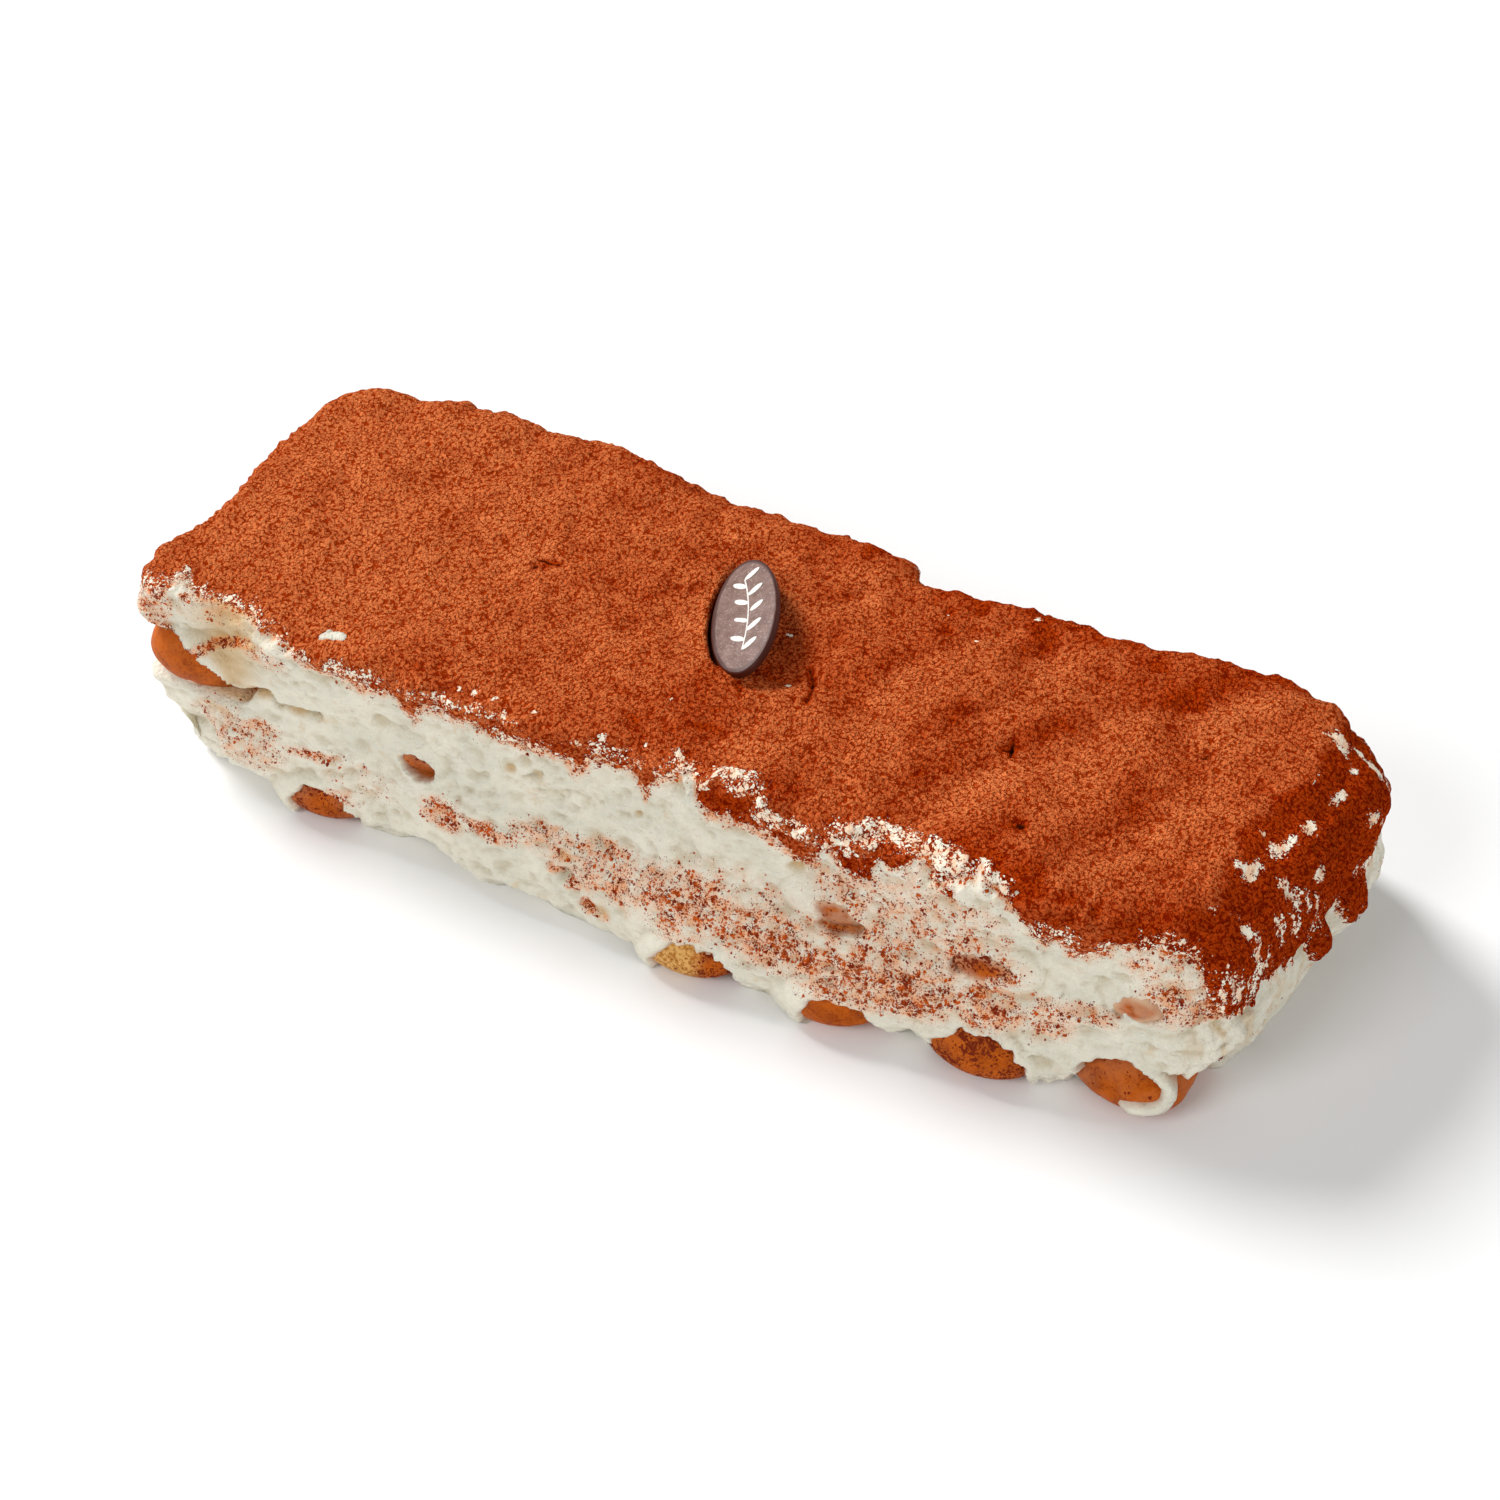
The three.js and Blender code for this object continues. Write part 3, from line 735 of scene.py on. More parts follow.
def left_side_finger(relief, points):
    """The first upper finger's long side at the left end: bare in places, smeared in others."""
    _, y, z = axes(points)
    at = FINGERS["upper"][0][0]
    middle = finger_floor("upper", at) + FINGER_BELLY
    round_share = np.clip(1 - ((z - middle) / finger_rise(z - middle)) ** 2, 0, 1)
    stands = -at + FINGER_WIDTH / 2 * np.sqrt(round_share) - left_reach(y, z)
    smeared = ease(rough_noise(points, (14, 14, 7), 47) + 0.25 * ease(y, -10, 30), 0.0, 0.25)
    near = near_side(points, "left") * (round_share > 0) * (1 - near_side(points, "front"))
    covered = np.maximum(relief, stands + 0.6)
    bare = np.minimum(relief, stands - 1.0)
    return mix(relief, mix(bare, covered, smeared), near)


print("coat of cream over a hidden finger:", COAT, "mm")


# %% Cream on the corner finger
def finger_value(points, layer, place):
    """Below 1 inside a ladyfinger and above 1 outside it."""
    middle, front, back = finger_ends(layer, place)
    x, y, z = axes(points - np.array([place[0], (front + back) / 2, middle]))
    spin = math.radians(place[3])
    across = x * math.cos(spin) + y * math.sin(spin)
    along = np.abs(y * math.cos(spin) - x * math.sin(spin)) - (back - front) / 2 + FINGER_CAP
    round_share = (2 * across / FINGER_WIDTH) ** 2 + (z / finger_rise(z)) ** 2
    return round_share + (np.maximum(along, 0) / FINGER_CAP) ** 2


def hugging(points, normals, layer, place, deepest):
    """The deepest relief that still leaves a coat of cream on a finger."""
    coat = np.full(points.shape[:-1], 2.5)
    free = np.ones(points.shape[:-1], bool)
    for relief in np.arange(2, deepest, -0.5):
        free &= finger_value(points + relief * normals, layer, place) > 1.2
        coat = np.where(free, relief, coat)
    return coat


CORNER_FINGER = FINGERS["lower"][0]
far_value = finger_value(TOP_MIDDLE, "lower", CORNER_FINGER).item()
print("the top's middle lies inside the corner finger:", far_value < 1)

# %% Relief of the upper layer
CURL_HEIGHT, TROUGH_DEPTH, DROOP_HEIGHT, CHIP_HEIGHT = 1.2, 0.9, 1.3, 1.2
OVERHANG, LEFT_CRACK_DEPTH, RIGHT_LIP = 1.0, 2.8, 0.9


def relief_under_cocoa(points, normals):
    """The upper cream's relief, without the scraps that stand out of the cocoa."""
    droop, _ = left_fold(points)
    relief = shared_relief(points, normals) + side_relief(points, normals) + pit_relief(points)
    return relief + CURL_HEIGHT * curls(points) - TROUGH_DEPTH * troughs(points) + DROOP_HEIGHT * droop


def upper_relief(points, normals):
    x, _, z = axes(points)
    relief = relief_under_cocoa(points, normals) + CHIP_HEIGHT * chips(points)
    wedge, crack, overhang = left_window(points)
    front = near_side(points, "front")
    relief += front * (OVERHANG * overhang - LEFT_CRACK_DEPTH * crack)
    relief += front * RIGHT_LIP * bell(z, 25.5, 1.8) * ease(x, 90, 100)
    inside, lip = window_share(points, "upper", "front")
    shares = {
        "front": (np.maximum(inside, wedge), lip * (1 - wedge)),
        "back": window_share(points, "upper", "back"),
    }
    return left_side_finger(cover_or_reveal(relief, points, "upper", shares), points)


print("the crack at the left is", LEFT_CRACK_DEPTH, "mm deep")

# %% Relief of the lower layer
# Notches in the front's foot: middle x, half width, height and depth
FRONT_NOTCHES = [
    (-125, 13, 11, 4.5), (-67, 10, 10, 4.5), (-40, 8, 8, 3), (27, 5, 6, 2), (67, 6, 13, 5.5),
    (108, 4, 11, 5),
]
LOWER_HUMP_HEIGHT, SMEAR_HEIGHT, LEFT_CORNER_CUT, RIGHT_CORNER_CUT = 2.4, 1.5, 9.5, 9


def lower_relief(points, normals):
    x, y, z = axes(points)
    relief = side_relief(points, normals) + pit_relief(points)
    front = near_side(points, "front")
    for at, half, height, depth in FRONT_NOTCHES:
        relief -= front * depth * bell(x, at, half) * (1 - ease(z, 0.2 * height, height))
    relief += LOWER_HUMP_HEIGHT * humps(points)
    corner = near_side(points, "left") * front
    relief -= LEFT_CORNER_CUT * corner * (1 - ease(z, 4, 29))
    relief += 2 * front * (1 - ease(x, -122, -114)) * ease(normals[..., 2], 0.3, 0.8)
    inside, lip = window_share(points, "lower", "front")
    smear = cream_smear(points)
    shares = {"front": (inside * (1 - smear), lip), "back": window_share(points, "lower", "back")}
    relief = cover_or_reveal(relief, points, "lower", shares) + SMEAR_HEIGHT * smear * inside
    relief -= RIGHT_CORNER_CUT * patch(x, z, (139, 5), (8, 12)) * ease(-y, 26, 36)
    at_corner = (1 - ease(x, -122, -114)) * (1 - ease(y, -30, -20))
    coat = hugging(points, normals, "lower", CORNER_FINGER, -12) + 0.8 * side_relief(points, normals)
    relief = mix(relief, np.maximum(relief, coat), at_corner)
    return np.where(relief > 0, relief * ease(z, -0.5, 1.5), relief)


print("notches in the front's foot:", len(FRONT_NOTCHES))

# %% [markdown]
# ## From rows of points to a mesh
# The rows become quads between neighbouring columns. The first and last rows run together on the
# middle line of the block, where front and back meet, so the double points there are merged and
# the skin is closed. Numbers such as the dust ride along as attributes for the materials.

# %% Mesh of a skin
MERGE_WITHIN, DROP_BELOW = 2e-6, 1e-7


def skin_mesh(name, rows, attributes):
    count, columns = rows.shape[:2]
    index = np.arange(count * columns).reshape(count, columns)
    right = np.roll(index, -1, axis=1)
    quads = np.stack([index[:-1], right[:-1], right[1:], index[1:]], -1).reshape(-1, 4)
    mesh = bpy.data.meshes.new(name)
    mesh.from_pydata((rows.reshape(-1, 3) * MM).tolist(), [], quads.tolist())
    for key, values in attributes.items():
        numbers = mesh.attributes.new(key, "FLOAT", "POINT").data
        numbers.foreach_set("value", values.ravel().astype(np.float32))
    body = bmesh.new()
    body.from_mesh(mesh)
    body.verts.ensure_lookup_table()
    ends = [body.verts[i] for i in np.concatenate([index[0], index[-1]])]
    bmesh.ops.remove_doubles(body, verts=ends, dist=MERGE_WITHIN)
    bmesh.ops.dissolve_degenerate(body, edges=body.edges, dist=DROP_BELOW)
    body.to_mesh(mesh)
    body.free()
    mesh.shade_smooth()
    return mesh


print("points merge within", MERGE_WITHIN / MM, "mm")


# %% A finished piece
def count_open_edges(mesh):
    used = np.zeros(len(mesh.loops), int)
    mesh.loops.foreach_get("edge_index", used)
    return int(np.sum(np.bincount(used, minlength=len(mesh.edges)) != 2))


def piece(name, mesh, slot, *nodes):
    """A finished piece: at the origin, riding on the block, standing for its solids."""
    made = bpy.data.objects.new(name, mesh)
    bpy.context.scene.collection.objects.link(made)
    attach(made, "root")
    if nodes:
        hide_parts(*nodes)
    mesh.calc_loop_triangles()
    print(f"{name}: {len(mesh.loop_triangles)} triangles, {count_open_edges(mesh)} open edges")
    return made


# %% [markdown]
# ## Dust and stains on the cream
# Cocoa falls on the sides too, thicker on some places than on others, and coffee from the sponge
# stains the cream. Painted maps would need pictures. Numbers on the mesh's points do the same: the
# cream's material reads how dusty, golden, deep or stained each point is.

# %% Dust on the sides
# Dust on the front: middle (x, z), half size and how thick it lies
DUST = [
    ((-130, 18), (7, 6), 0.42), ((-114, 25), (7, 3), 0.42), ((-120, 20), (16, 7), 0.22),
    ((-99, 21.5), (10, 1.8), 0.5), ((-91, 12), (6.5, 2.6), 0.5), ((-86, 19), (14, 6), 0.2),
    ((-60, 20), (7, 5), 0.6), ((-47, 20.5), (9, 3), 0.46), ((-30, 23), (14, 4.5), 0.36),
    ((-12, 21), (14, 8), 0.46), ((8, 22), (16, 8.5), 0.53), ((30, 20), (16, 7.5), 0.51),
    ((50, 18.5), (16, 7), 0.56), ((66, 20), (13, 7), 0.56), ((84, 22), (11, 7), 0.5),
    ((97, 23), (9, 6), 0.4), ((106, 27), (10, 2.8), 0.36), ((48, 39), (12, 11), 0.37),
    ((62, 41), (14, 13), 0.36), ((76, 41), (12, 12), 0.34), ((84, 33), (9, 5), 0.44),
    ((124, 36), (9, 7), 0.5), ((132, 33), (8, 3.5), 0.62), ((134, 42), (6, 8), 0.7),
    ((118, 44), (9, 4), 0.34), ((62, 30), (28, 8), 0.36), ((20, 30), (20, 5), 0.24),
    ((-146, 50), (7, 7), 0.5), ((-130, 52), (12, 3), 0.2), ((-112, 47), (8, 4), 0.36),
    ((-27, 17.5), (3.5, 1.6), 0.62), ((-22, 15.5), (2.5, 2.2), 0.6), ((-18, 10.5), (2.4, 3.2), 0.62),
    ((-14, 9), (3, 2), 0.4), ((-122, 19), (18, 9), 0.35),
]


def side_dust(points, normals):
    """How thick cocoa lies on the cream's sides, from 0 to 1."""
    x, _, z = axes(points)
    marks = most(amount * patch(x, z, centre, half) for centre, half, amount in DUST)
    clouds = rough_noise(points, (26, 26, 9), 71)
    band = 0.5 * bell(z, 21, 5) * ease(clouds, -0.4, 0.4)
    elsewhere = np.maximum(0.34 * ease(clouds, -0.1, 0.6), band)
    streaks = ease(rough_noise(points, (9, 3, 16), 75), -0.2, 0.5)
    runs = 0.6 * near_side(points, "right") * ease(z, 24, 36) * streaks
    ledge = 0.12 * ease(normals[..., 2], 0.25, 0.8) * ease(z, 14, 20)
    _, fold_edge = left_fold(points)
    dust = most([mix(elsewhere, marks, near_side(points, "front")) + ledge, 0.72 * fold_edge, runs])
    return np.clip(dust * (1 + 0.5 * rough_noise(points, 4.2, 73, 2)), 0, 1)


print("dusty places on the front:", len(DUST))

# %% Stains and attributes
# Golden spots on the front: middle (x, z) and half size
GOLD = [
    ((-116.5, 49), (2.2, 1.2)), ((-26, 21.5), (2.4, 1.6)), ((-14, 11), (2.6, 2)), ((33, 40), (2, 1.2)),
    ((-8, 39), (0.9, 0.9)), ((-128, 27), (5, 1.2)), ((-42, 40), (1.5, 1.2)), ((-115, 34.8), (4, 1.4)),
    ((-35, 40), (1, 0.9)), ((-104, 33), (3, 1)),
]


def gold_share(points):
    x, y, z = axes(points)
    spots = near_side(points, "front") * sum(patch(x, z, centre, half) for centre, half in GOLD)
    runs = ease(rough_noise(points, (6, 3, 18), 77, 2), 0.0, 0.5) * (1 - ease(z, 30, 40))
    under_wedge = ease(z, 26.6, 27.3) * ease(y, -48.5, -46.5) * bell(x, -124, 8)
    return spots + 0.6 * near_side(points, "right") * runs + 1.2 * under_wedge


def crust_share(base, layer):
    """1 where the cream lies behind a bare finger and is stained by it."""
    inside, _ = window_share(base, layer, "front")
    if layer == "upper":
        inside = np.maximum(inside, left_window(base)[0])
    else:
        inside = inside * (1 - cream_smear(base))
    return inside * near_side(base, "front")


def cream_attributes(layer, points, base, normals, deep):
    z = points[..., 2]
    edge = 0.75 * np.exp(-np.abs(cocoa_cover(points)) / 2.4)
    dust = np.maximum(side_dust(points, normals), np.where(z > 40, edge, 0))
    dust *= (1 - 0.6 * chips(points)) * ease(z, 0.4, 1.6)
    gold = np.clip(gold_share(points), 0, 1)
    # The deep number drives painted shade in the cream's sunken places.
    return {"dust": dust, "gold": gold, "deep": deep, "crust": crust_share(base, layer)}


print("golden spots on the front:", len(GOLD))

# %% [markdown]
# ## The two layers of cream
# The upper layer is fine from its foot to a little way in on the top. The rest of its top lies
# under the cocoa, where a few wide rows are enough. The lower layer has its own ledge, on which
# the upper one rests, and a flat underside.


# %% Sunken places
def sunken(lift):
    """How far a place lies below its surroundings, in the relief of a skin."""
    around = lift
    for step in (1, 2, 4):
        beside = (np.roll(around, step, axis=1) + np.roll(around, -step, axis=1)) / 2
        above = np.vstack([around[step:], np.repeat(around[-1:], step, axis=0)])
        below = np.vstack([np.repeat(around[:1], step, axis=0), around[:-step]])
        around = (2 * around + 2 * beside + above + below) / 6
    return around - lift


lone_bump = np.zeros((9, 9))
lone_bump[4, 4] = 1.0
print("a lone bump of 1 mm stands proud by", round(float(-sunken(lone_bump)[4, 4]), 2), "mm")

# %% Skin of a layer
UNDER_COCOA, WIDE_ROWS, UNDERSIDE_ROWS, DEEP_AT = 2.5, 5, (0, 0.5, 0.9), 0.7


def dressed_layer(surface, relief, fine_to, rows):
    """A layer's skin: underside, fine side and rim, and wide rows in to the middle line."""
    steps = even_steps(surface, 0.0, fine_to, rows)
    wide = np.linspace(fine_to, 3.0, WIDE_ROWS + 1)[1:, None] + 0.0 * steps[:1]
    base = surface(np.vstack([steps, wide]))
    normals = skin_normals(base)
    lift = relief(base, normals)
    lift[rows:] = np.minimum(lift[rows:], 0) - UNDER_COCOA
    skin = base + lift[..., None] * normals
    skin[..., 2] = np.maximum(skin[..., 2], 0)
    middle = base[-1].copy()
    middle[:, 2] = base[0, :, 2]
    under = np.stack([mix(middle, skin[0], share) for share in UNDERSIDE_ROWS])
    # How sunken each place is; the cream's material paints shade there.
    deep = np.clip(sunken(lift) / DEEP_AT, 0, 1)
    padded = [
        np.vstack([np.repeat(values[:1], len(under), axis=0), values])
        for values in (base, normals, deep)
    ]
    return [np.vstack([under, skin])] + padded


def cream_piece(layer, surface, relief, fine_to, rows):
    name = f"cream_{layer}_spread"
    skin = dressed_layer(surface, relief, fine_to, rows)
    mesh = skin_mesh(name, skin[0], cream_attributes(layer, *skin))
    return piece(name, mesh, "cream", f"cream_{layer}")


print("cream under the cocoa lies at least", UNDER_COCOA, "mm deeper than its solid")

# %% Upper cream
SKIRT = 2.5


def skirt(x, z):
    """The upper layer's foot spreads over the ledge of the lower one and dips behind its face."""
    above = z - seam_height(x)
    return LAYER_REACH["lower"] * (1 - ease(above, -1, 5)) - 0.8 * (1 - ease(above, -SKIRT, -0.6))


def upper_surface(step):
    return layer_points(step, lambda x: seam_height(x) - SKIRT, cream_top, rim_radius, skirt)


upper_cream = cream_piece("upper", upper_surface, upper_relief, fine_to=2.3, rows=78)


# %% Lower cream
def lower_surface(step):
    return layer_points(
        step, floor=lambda x: 0.0 * x, top=lambda x, y: seam_height(x) - GAP / 2,
        radius=lambda x: LEDGE_RADIUS + 0.0 * x, more=lambda x, z: LAYER_REACH["lower"],
    )


lower_cream = cream_piece("lower", lower_surface, lower_relief, fine_to=2.15, rows=56)

# %% [markdown]
# ## The cocoa
# Sifted cocoa is a soft skin, thick in the middle and fading to single grains at its edge. It is
# made as a thin shell on the same columns. Inside its edge it lies above the cream, outside it
# dips below, so the ragged line is where the two surfaces cut each other. That is finer than any
# edge of faces could be.

# %% Pits, cracks and the plaque's groove
# Small pits on the top: (x, y), radius and depth
TOP_PITS = [
    (80, -27.5, 2.0, 1.3), (38, 32, 1.6, 1.0), (46, 35, 1.4, 0.8), (-96, -38, 1.8, 1.0), (-62, 3, 1.6, 1.2),
    (-59.5, 4, 1.2, 0.9), (-63, -20, 1.2, 0.7), (40, 25, 1.4, 1.0), (110.5, 12.5, 1.0, 1.6),
    (105, -19, 2.0, 0.9), (69, -3.5, 1.4, 0.9), (7, -30, 0.9, 0.8), (103, -41, 1.1, 1.0),
    (86, -44, 1.2, 0.9), (18, -5, 1.0, 0.9), (18.5, -8, 0.9, 0.7),
]
TOP_CRACKS = [
    [(15, 0.5), (17.8, -3.8), (19.5, -8), (20, -12.6)], [(68.6, -1.8), (69.4, -6)],
    [(66.9, -5.1), (69, -4)], [(-62, 5.3), (-56.4, 5.6)], [(2.1, -14.1), (4.3, -15.9)],
]
CRACK_WIDTH = 0.8
PLAQUE_LENGTH, PLAQUE_AT, PLAQUE_TURN = 40.0, (-4.5, 5.5), 24
GROOVE_HALF_WIDTH = 8.2


def top_pits(points):
    """Depth of the small pits in the cocoa."""
    x, y, _ = axes(points)
    return sum(deep * np.exp(-(np.hypot(x - at_x, y - at_y) / radius) ** 2)
               for at_x, at_y, radius, deep in TOP_PITS)


def cracks(points):
    x, y, _ = axes(points)
    return most(along_line(x, y, line, CRACK_WIDTH) for line in TOP_CRACKS)


def plaque_groove(points):
    """1 in the slit that the plaque's sunken left edge left in the cocoa."""
    x, y = points[..., 0] - PLAQUE_AT[0], points[..., 1] - PLAQUE_AT[1]
    turn = math.radians(PLAQUE_TURN)
    across = x * math.cos(turn) + y * math.sin(turn)
    along = y * math.cos(turn) - x * math.sin(turn)
    ring = bell(np.hypot(across / GROOVE_HALF_WIDTH, along / (PLAQUE_LENGTH / 2)), 1.06, 0.1)
    return ring * ease(-across, 0, 4) * ease(along, -18, -11)


print("on the top:", len(TOP_PITS), "pits and", len(TOP_CRACKS), "cracks")

# %% Places of the scraps
# Flecks and thin smears of cream on the right end: middle (y, z) and half size
FLECKS = [
    ((-15, 54.5), (3.4, 0.9)), ((-5, 54.3), (4.6, 0.9)), ((4.5, 54), (2.2, 0.8)), ((16, 54), (3, 0.8)),
    ((31, 55.5), (2.6, 1)), ((26, 54), (2, 0.8)), ((20, 47), (2.4, 1.6)), ((-12, 50), (1.5, 1.8)),
    ((-3, 48), (2, 1)), ((33, 50), (1.8, 3.5)), ((-29, 54), (1.4, 0.6)),
]
SMEARS = [
    ((-27, 43), (3, 8)), ((-13.5, 43), (2, 6)), ((-45, 51), (6, 5)), ((-36, 38), (3, 8)),
    ((-12, 48), (2.4, 4)), ((-19, 43.5), (3.5, 4)), ((-26, 40), (4, 4)), ((-8, 44), (2.5, 4)),
    ((-31, 35), (3, 5)), ((24, 40), (2.4, 6)), ((-4, 40), (1.6, 4)), ((9, 41), (1.4, 4)),
    ((33, 42), (3, 8)),
]
# Beads of cream on the top: (x, y) and size
BEADS = [
    ((6, 8.6), 0.7), ((13, -7.6), 0.8), ((48, 25), 0.6), ((59, 38), 0.8), ((-9, -26), 0.5),
    ((-8, -41), 0.7), ((0.7, -40.6), 0.9), ((4.6, -42.3), 0.9), ((126.6, -15.9), 0.8),
    ((129.3, -4.9), 0.8), ((133.6, -27), 1.1), ((-57, -42.6), 0.7), ((-53, -42.4), 0.8),
    ((-47, -42.6), 0.7), ((-36, -43), 0.6), ((-18, -42.8), 0.8),
]
# Worn places along the front rim: middle (x, climb), half size and how bare they are
WORN = [
    ((4, 57), (6, 5), 0.5), ((17, 61), (8, 3), 0.55), ((30, 54), (10, 3.5), 0.48), ((46, 56), (8, 5), 0.52),
    ((55, 61), (8, 4), 0.55), ((68, 59), (8, 4), 0.58), ((80, 56), (5, 6), 0.62), ((-47, 56), (9, 2), 0.46),
    ((-62, 54), (9, 2.5), 0.42), ((-85, 54), (10, 2.5), 0.48), ((-15, 56), (9, 2.5), 0.5),
    ((96, 50), (7, 4), 0.36), ((120, 53), (9, 4), 0.42), ((-143, 54), (8, 6), 0.45),
    ((-125, 59), (14, 3), 0.4),
]
print("scraps on the cocoa:", len(FLECKS) + len(SMEARS) + len(BEADS) + len(WORN))


# %% Scraps of cream on the cocoa
def scraps(points):
    """1 where cocoa is worn or crumbs lie on it: flecks and smears on the right end, beads on top."""
    x, y, z = axes(points)
    off = 1.2 * rough_noise(points, 2.6, 93, 2)
    end = ease(x, 122, 130)
    solid = most(patch(y + off, z + 0.5 * off, centre, half) for centre, half in FLECKS) * end
    thin = most(patch(y + off, z, centre, half) for centre, half in SMEARS) * end
    thin = thin * ease(rough_noise(points, (8, 1.6, 9), 95, 2), -0.35, 0.25)
    dots = most(1 - ease(np.hypot(x - at[0], y - at[1]) / size, 0.6, 1.3) for at, size in BEADS)
    climb = climbs(points)["front"]
    worn = most(bare * patch(x + off, climb + off, centre, half) for centre, half, bare in WORN)
    worn = worn * (1 + 0.5 * rough_noise(points, 3.2, 97, 2)) * near_side(points, "front")
    return most([0.9 * solid, 0.9 * dots, 0.7 * thin, worn])


def bare_share(points, cover):
    """How much pale cream shows through the cocoa."""
    fading = mix(1.6, 3.2, ease(points[..., 0], 128, 138))
    edge = 0.62 * np.exp(-np.maximum(cover, 0) / fading)
    return most([edge, 0.78 * curls(points), scraps(points)])


print("bare share at the top's middle:", round(bare_share(TOP_MIDDLE, cocoa_cover(TOP_MIDDLE)).item(), 2))

# %% Wet cocoa and painted shade
# The step over which the slope of the top is measured, in the way the key light shines: slopes that fall
# this way get painted shade
KEY_LIGHT_STEP = np.array([2.0, -0.6, 0.0])


def damp_and_shade_share(points, normals, cover, depth):
    """How dark the cocoa is: wet down the right end and along its thin edge, and painted shade in sunken
    places, pits and cracks, along the front rim, beside the plaque, away from the left end and on slopes
    that fall away from the key light.
    """
    x, y, _ = axes(points)
    inside = np.maximum(cover, 0)
    crest_side = ease(beyond_crest(points) + 1.6 * rough_noise(points, 5, 67), -4, 1.5)
    # Painted shadow beside the plaque, on the side of its raised right edge.
    painted_plaque_shadow = 0.55 * patch(x, y, (9, 4), (9, 14))
    clouds = ease(rough_noise(points, 24, 69), -0.5, 0.5)
    spots = ease(rough_noise(points, 9, 71), -0.2, 0.5)
    # Painted shade along the front rim, where the top turns down, in spots towards the left.
    rim_shade = np.exp(-inside / 15) * ease(x, -60, 30) * (0.36 + 0.45 * clouds)
    rim_shade += 0.5 * np.exp(-inside / 7) * spots * (1 - ease(x, -60, 0))
    # Painted shade on slopes that fall away from the key light.
    slope = (top_swell(points) - top_swell(points + KEY_LIGHT_STEP)) / np.linalg.norm(KEY_LIGHT_STEP)
    lee = 1.3 * slope * lies_flat(normals)
    # Painted shade away from the left end, in sunken places, cracks and pits; the clouds are random tone.
    shade = 0.28 * ease(x, -110, -40) - 0.12 + 0.3 * np.clip(sunken(depth) / 0.22, 0, 1)
    shade = shade + 0.7 * cracks(points) + 0.35 * top_pits(points) + rim_shade + 0.14 * clouds + lee
    return most([crest_side, painted_plaque_shadow, 0.55 * np.exp(-inside / 4), shade])


def slit_shade_share(points):
    """1 in the plaque's groove, the pits and the cracks, which get near-black painted shade."""
    depths = 0.7 * ease(top_pits(points), 0.6, 1.2) + 0.7 * cracks(points) ** 2
    return np.maximum(plaque_groove(points), depths)


print("the lee is measured over", round(float(np.linalg.norm(KEY_LIGHT_STEP)), 2), "mm")

# %% Height of the cocoa
COCOA_MOST, COCOA_FADE, COCOA_DIP = 1.25, 5, -1.3
CRUMB_HEIGHT, LUMP_HEIGHT, SMALL_LUMP_HEIGHT = 0.26, 0.42, 0.28
BOWL_DEPTH, CRACK_DEPTH, GROOVE_DEPTH = 1.3, 0.7, 2.5


def cocoa_lift(points, normals, cover):
    """Relief of the cocoa: its own depth and hollows, on the relief of the cream below it."""
    lying = COCOA_MOST * (1 - np.exp(-np.maximum(cover, 0) / COCOA_FADE))
    depth = np.where(cover > 0, lying, np.maximum(0.25 * cover, COCOA_DIP))
    depth += CRUMB_HEIGHT * np.exp(-(cover / COCOA_FADE) ** 2) * soft_noise(points, 1.25, 61)
    lumps = LUMP_HEIGHT * rough_noise(points, 5.2, 63, 2) + SMALL_LUMP_HEIGHT * soft_noise(points, 1.8, 65)
    depth += lumps * ease(cover, 0, 6)
    x, y, _ = axes(points)
    bowl = BOWL_DEPTH * patch(x - 0.25 * y, y, (12, 2), (6, 12))
    hollows = bowl + top_pits(points) + CRACK_DEPTH * cracks(points) + GROOVE_DEPTH * plaque_groove(points)
    return depth - hollows + relief_under_cocoa(points, normals)


print("cocoa lies up to", COCOA_MOST, "mm deep, without its lumps")

# %% Cocoa shell
COCOA_FOOT, COCOA_RIGHT_FOOT, COCOA_ROWS = 41.0, 15.0, 84
# Rows that the shell's inside follows, from the middle line out to the foot
INNER_ROWS = [83, 70, 52, 34, 18, 8, 2]


def cocoa_foot(x):
    return mix(COCOA_FOOT, COCOA_RIGHT_FOOT, ease(x, 120, 142))


def cocoa_surface(step):
    return layer_points(step, cocoa_foot, cream_top, rim_radius, skirt)


def cocoa_shell():
    """Rows of the shell, its inside first, and the numbers for its material."""
    base = cocoa_surface(even_steps(cocoa_surface, 0.0, 3.0, COCOA_ROWS))
    normals = skin_normals(base)
    cover = cocoa_cover(base)
    cover[-1] = np.maximum(cover[-1], 20)
    depth = cocoa_lift(base, normals, cover)
    inner_depth = mix(1.7, 3.6, ease(normals[INNER_ROWS][..., 2:], 0.6, 0.95))
    inside = base[INNER_ROWS] - inner_depth * normals[INNER_ROWS]
    marks = {
        "bare": bare_share(base, cover),
        # Wet cocoa and painted shade in one number.
        "damp_and_shade": damp_and_shade_share(base, normals, cover, depth),
        # Near-black painted shade for the groove, pits and cracks.
        "slit": slit_shade_share(base),
    }
    nothing = np.zeros(inside.shape[:2])
    attributes = {name: np.vstack([nothing, share]) for name, share in marks.items()}
    return np.vstack([inside, base + depth[..., None] * normals]), attributes


cocoa = piece("cocoa_sifted", skin_mesh("cocoa_sifted", *cocoa_shell()), "cocoa", "cocoa_dusting")

# %% [markdown]
# ## The ladyfingers
# A ladyfinger is a sponge biscuit with blunt round ends and a flat underside. Soaked in coffee its
# crust goes soft, darkens in patches and wrinkles. A plain capsule would be too round below, so rings
# of points make it, with wrinkles in its mesh and numbers for the film of cream and dust on its tip.

# %% Rings of a ladyfinger
FINGER_RINGS, FINGER_SIDES, CAP_RINGS = 40, 56, 14


